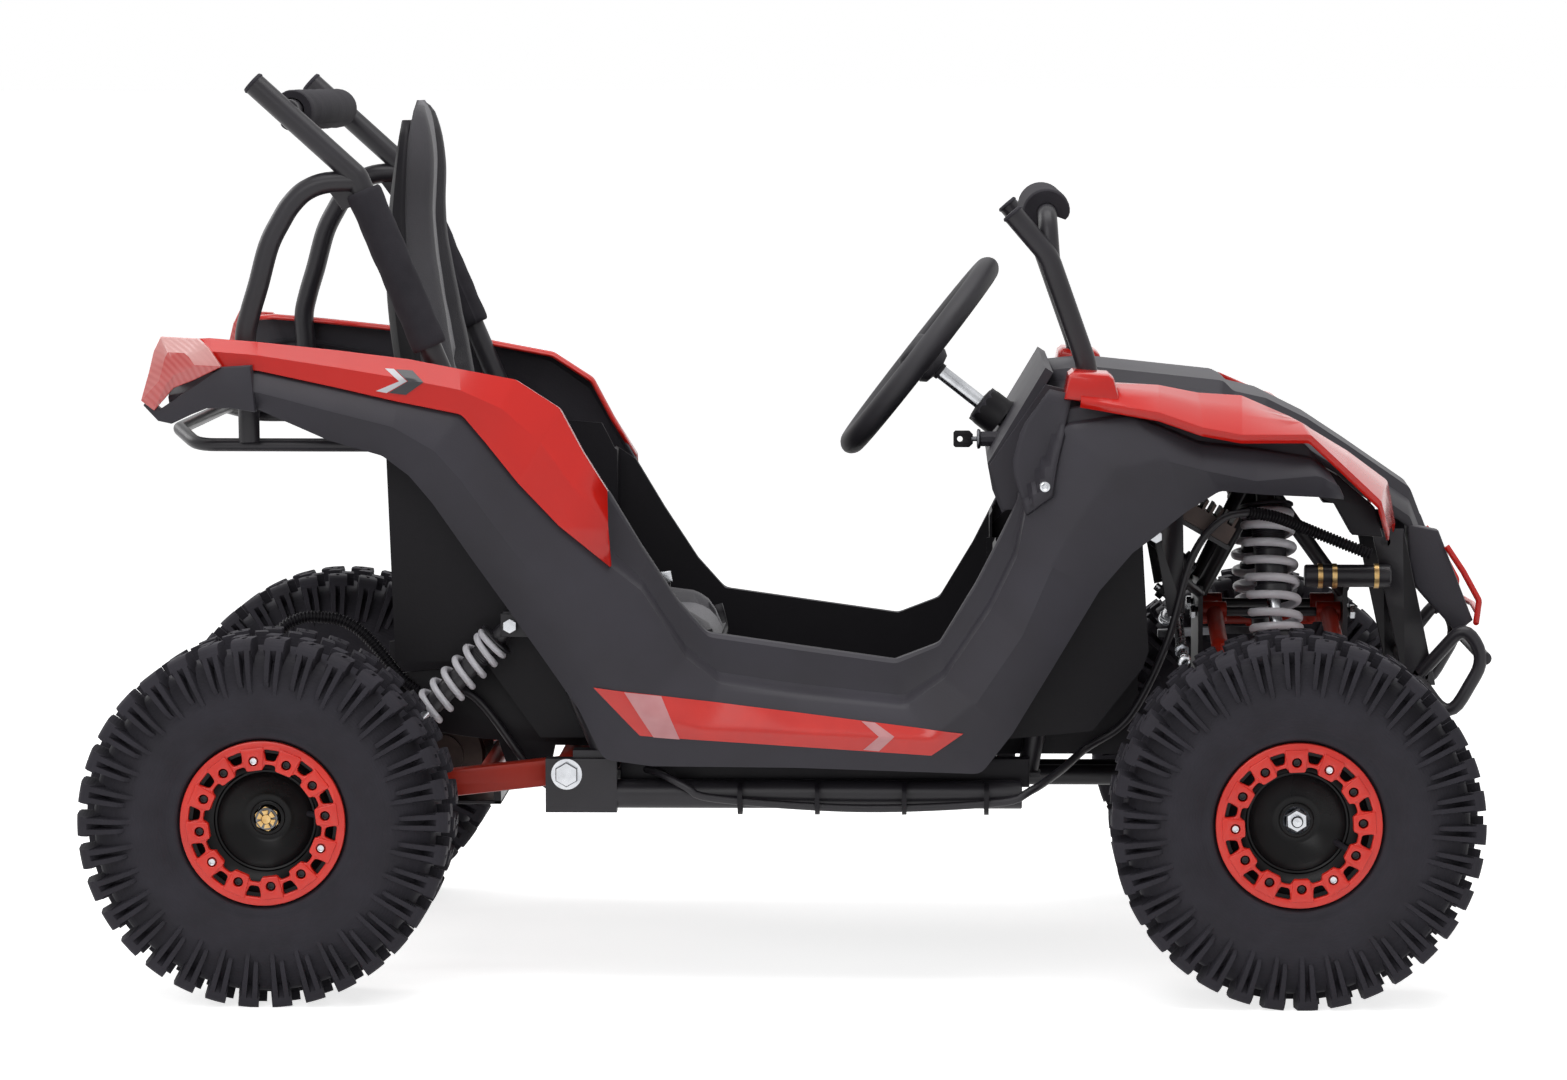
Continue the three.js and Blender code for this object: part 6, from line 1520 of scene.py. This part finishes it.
def wishbone(z, shock):
    """Welded A arm: two bent tubes from the inner sleeves to the outer joint, with a cross tube."""

    def slope(y):
        return z - 34 * (y - 50) / 172

    parts = []
    for way in (-1, 1):
        x = ARM_X + way * ARM_SPREAD
        sleeve = [(6.4, -13), (10.4, -13), (11, -12.4), (11, 12.4), (10.4, 13), (6.4, 13)]
        parts.append(turned(sleeve, 32, (x, 50, z), AHEAD))
        parts.append(tube([(x, 59, slope(59)), (x, 178, slope(178)), (x - way * 26, 198, slope(198))], 9, 22, 16))
    cross = [(ARM_X - ARM_SPREAD, 196, slope(196)), (ARM_X + ARM_SPREAD, 196, slope(196))]
    parts.append(tube(cross, 9, None, 16))
    parts.append(tube([(FRONT_X, 190, slope(190)), (FRONT_X, 219, slope(219))], 8, None, 16))
    joint = [(6.4, -12), (9, -12), (9.4, -11), (9.4, 11), (9, 12), (6.4, 12)]
    parts.append(turned(joint, 28, (FRONT_X, 222, slope(222)), AHEAD))
    if shock:
        place, _ = lean(SHOCKS["front"])
        ears = []
        for y0 in (13.2, -17.2):
            ears.append(block((-10, y0, -42), (9, y0 + 4, 5)))
            ears.append(peg((-0.5, y0, 4), (-0.5, y0 + 4, 4), 9.4, 24))
        ears.append(peg((0, -20, 0), (0, 20, 0), 4.2, 14))
        parts.append(moved(joined(*ears), place))
        low = slope(190) - 2
        parts.append(peg((ARM_X - ARM_SPREAD, 190, low), (ARM_X + ARM_SPREAD, 190, low), 9, 16))
    return joined(*parts)


for name, side in SIDES:
    piece(f"upper_wishbone.{name}", sided(wishbone(370, False), side), ARM, f"upper_{name}", [f"upper_arm_{name}"])
    piece(f"lower_wishbone.{name}", sided(wishbone(190, True), side), ARM, f"lower_{name}", [f"lower_arm_{name}"])
    low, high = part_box(f"tie_rod_{name}")
    tie_x = (low[0] + high[0]) / 2 / mm
    ends = [Vector((tie_x, 222, low[2] / mm + 8)), Vector((tie_x, 12, high[2] / mm - 8))]
    rod_parts = [peg(ends[0], ends[1], 5.5, 20)]
    for spot in ends:
        ball = [(8 * math.sin(math.radians(a)), 8 * math.cos(math.radians(a))) for a in range(4, 180, 11)]
        rod_parts.append(turned([(0.05, 8), *ball, (0.05, -8)], 24, spot, (0, 0, 1)))
    way = (ends[1] - ends[0]).normalized()
    for at in (30, 150):
        rod_parts.append(moved(hexagon(8, 0, 9, (0, 0, 0), (0, 0, 1)), along_axis(ends[0] + way * at, way)))
    piece(f"tie_bar.{name}", sided(joined(*rod_parts), side), ZINC, f"tie_{name}", [f"tie_rod_{name}"])


# ---------------------------------------------------------------- wiring in ribbed conduit, ties and cables
LOOM_FRONT = [(600, -147, 440), (575, -149, 450), (536, -156, 466), (500, -173, 481), (470, -184, 487)]
LOOM_MIDDLE = [
    (470, -184, 487), (440, -196, 480), (410, -198, 440), (384, -198, 350), (345, -194, 272), (300, -200, 240),
    (272, -246, 222), (240, -288, 206), (205, -290, 194), (63, -290, 188), (-86, -290, 198), (-116, -289, 210),
    (-146, -272, 223), (-178, -228, 223), (-206, -205, 219), (-219.5, -205, 200), (-234, -205, 194), (-258, -205, 196), (-285, -205, 220),
    (-345, -205, 296), (-400, -205, 298), (-419, -205, 314),
]
LOOM_REAR = [
    (-400, -205, 298), (-419, -205, 314), (-440, -203, 340), (-461, -202, 362), (-482, -201, 374), (-503, -200, 377),
    (-524, -200, 376), (-545, -200, 364), (-556, -200, 338),
]


def conduit(points, pitch=3.6):
    line = resampled(points, pitch / 4)
    radii = [(6.5, 6.5, 5.0, 5.0)[i % 4] for i in range(len(line))]
    return swept(line, radii, 18)


piece("conduit", joined(conduit(LOOM_REAR), conduit(LOOM_FRONT)), TUB, replaces=["wiring_loom"], smooth=25)
piece("loom", swept(resampled(LOOM_MIDDLE, 7), 4.2, 14), TUBE, smooth=60)
# Middle and half sizes of the ties, which hold the conduit to the floor rail
TIE_Y, TIE_Z, TIE_WIDE, TIE_HIGH = -279, 197, 19, 16
turns = [2 * math.pi * i / 24 for i in range(24)]
ties = []
for x in (-60, 20, 110, 195):
    rows = []
    for grow, dx in ((0, -2.4), (1.2, -2.4), (1.2, 2.4), (0, 2.4)):
        wide, high = TIE_WIDE * (1 + grow / 20), TIE_HIGH * (1 + grow / 20)
        rows.append([Vector((x + dx, TIE_Y + wide * math.cos(t), TIE_Z + high * math.sin(t))) for t in turns])
    ties.append(looped(rows))
piece("cable_ties", joined(*ties), TUB, smooth=40)


# ---------------------------------------------------------------- CAD nodes that stay, with their finish
KEPT = {
    "tub": (TUB, 3), "dash": (PANEL, 2.5), "battery": (TUB, 2), "controller": (FIN, 0.6),
    "throttle_pedal": (TUBE, 1.2), "brake_pedal": (TUBE, 1.2), "motor_sprocket": (STEEL, 0.4),
}
for name, _ in SIDES:
    KEPT[f"upright_{name}"] = (ARM, 1.2)
    KEPT[f"spindle_{name}"] = (STEEL, 1)
for node, (look, bevel) in KEPT.items():
    made = bpy.data.objects[node]
    for slot in made.material_slots:
        slot.link = "OBJECT"
        slot.material = look
    break_edges(made, bevel, 2, 32)


# ---------------------------------------------------------------- studio
def seen_rays(tree):
    """1 on rays that end in the picture: from the camera, off a gloss or through a lens; else 0."""
    rays = add_node(tree, "ShaderNodeLightPath")
    larger = {"operation": "MAXIMUM"}
    seen = add_node(tree, "ShaderNodeMath", larger, {0: (rays, "Is Camera Ray"), 1: (rays, "Is Glossy Ray")})
    return add_node(tree, "ShaderNodeMath", larger, {0: (seen, "Value"), 1: (rays, "Is Transmission Ray")})


def studio_floor():
    """Seamless white paper: it takes the shadow, and shows as white where light reaches it."""
    made, tree, shader = new_material("white_paper", "#F2F2F2", 0.9)
    mottle(tree, shader, "#EFEFEF", "#F4F4F4", 900)
    glow = add_node(tree, "ShaderNodeMath", {"operation": "MULTIPLY", 1: 0.76}, {0: (seen_rays(tree), "Value")})
    shader.inputs["Emission Color"].default_value = (1, 1, 1, 1)
    tree.links.new(glow.outputs["Value"], shader.inputs["Emission Strength"])
    return made


half = 400
floor_data = bpy.data.meshes.new("floor")
floor_data.from_pydata([(-half, -half, 0), (half, -half, 0), (half, half, 0), (-half, half, 0)], [], [(0, 1, 2, 3)])
floor = bpy.data.objects.new("floor", floor_data)
scene.collection.objects.link(floor)
floor_data.materials.append(studio_floor())

world = bpy.data.worlds.new("studio")
scene.world = world
world.use_nodes = True
tree = world.node_tree
tree.nodes.clear()
level = add_node(tree, "ShaderNodeMapRange", {"To Min": 0.26, "To Max": 1.0}, {"Value": (seen_rays(tree), "Value")})
sky = add_node(tree, "ShaderNodeBackground", {"Color": (1, 1, 1, 1)}, {"Strength": (level, "Result")})
add_node(tree, "ShaderNodeOutputWorld", {}, {"Surface": (sky, "Background")})


def lamp(name, spot, target, size, power):
    data = bpy.data.lights.new(name, "AREA")
    data.shape = "RECTANGLE"
    data.size, data.size_y = size
    data.energy = power
    made = bpy.data.objects.new(name, data)
    scene.collection.objects.link(made)
    aim = Vector(target) - Vector(spot)
    made.matrix_world = Matrix.Translation(spot) @ aim.to_track_quat("-Z", "Y").to_matrix().to_4x4()


lamp("overhead", (0.1, -0.6, 3.6), (0, 0, 0.4), (3.6, 2.4), 78)
lamp("camera_side", (-1.4, -4.4, 2.6), (0, 0, 0.4), (2.6, 1.8), 36)
lamp("rear_side", (-3.2, 1.6, 2.2), (0, 0, 0.5), (2.0, 1.6), 30)
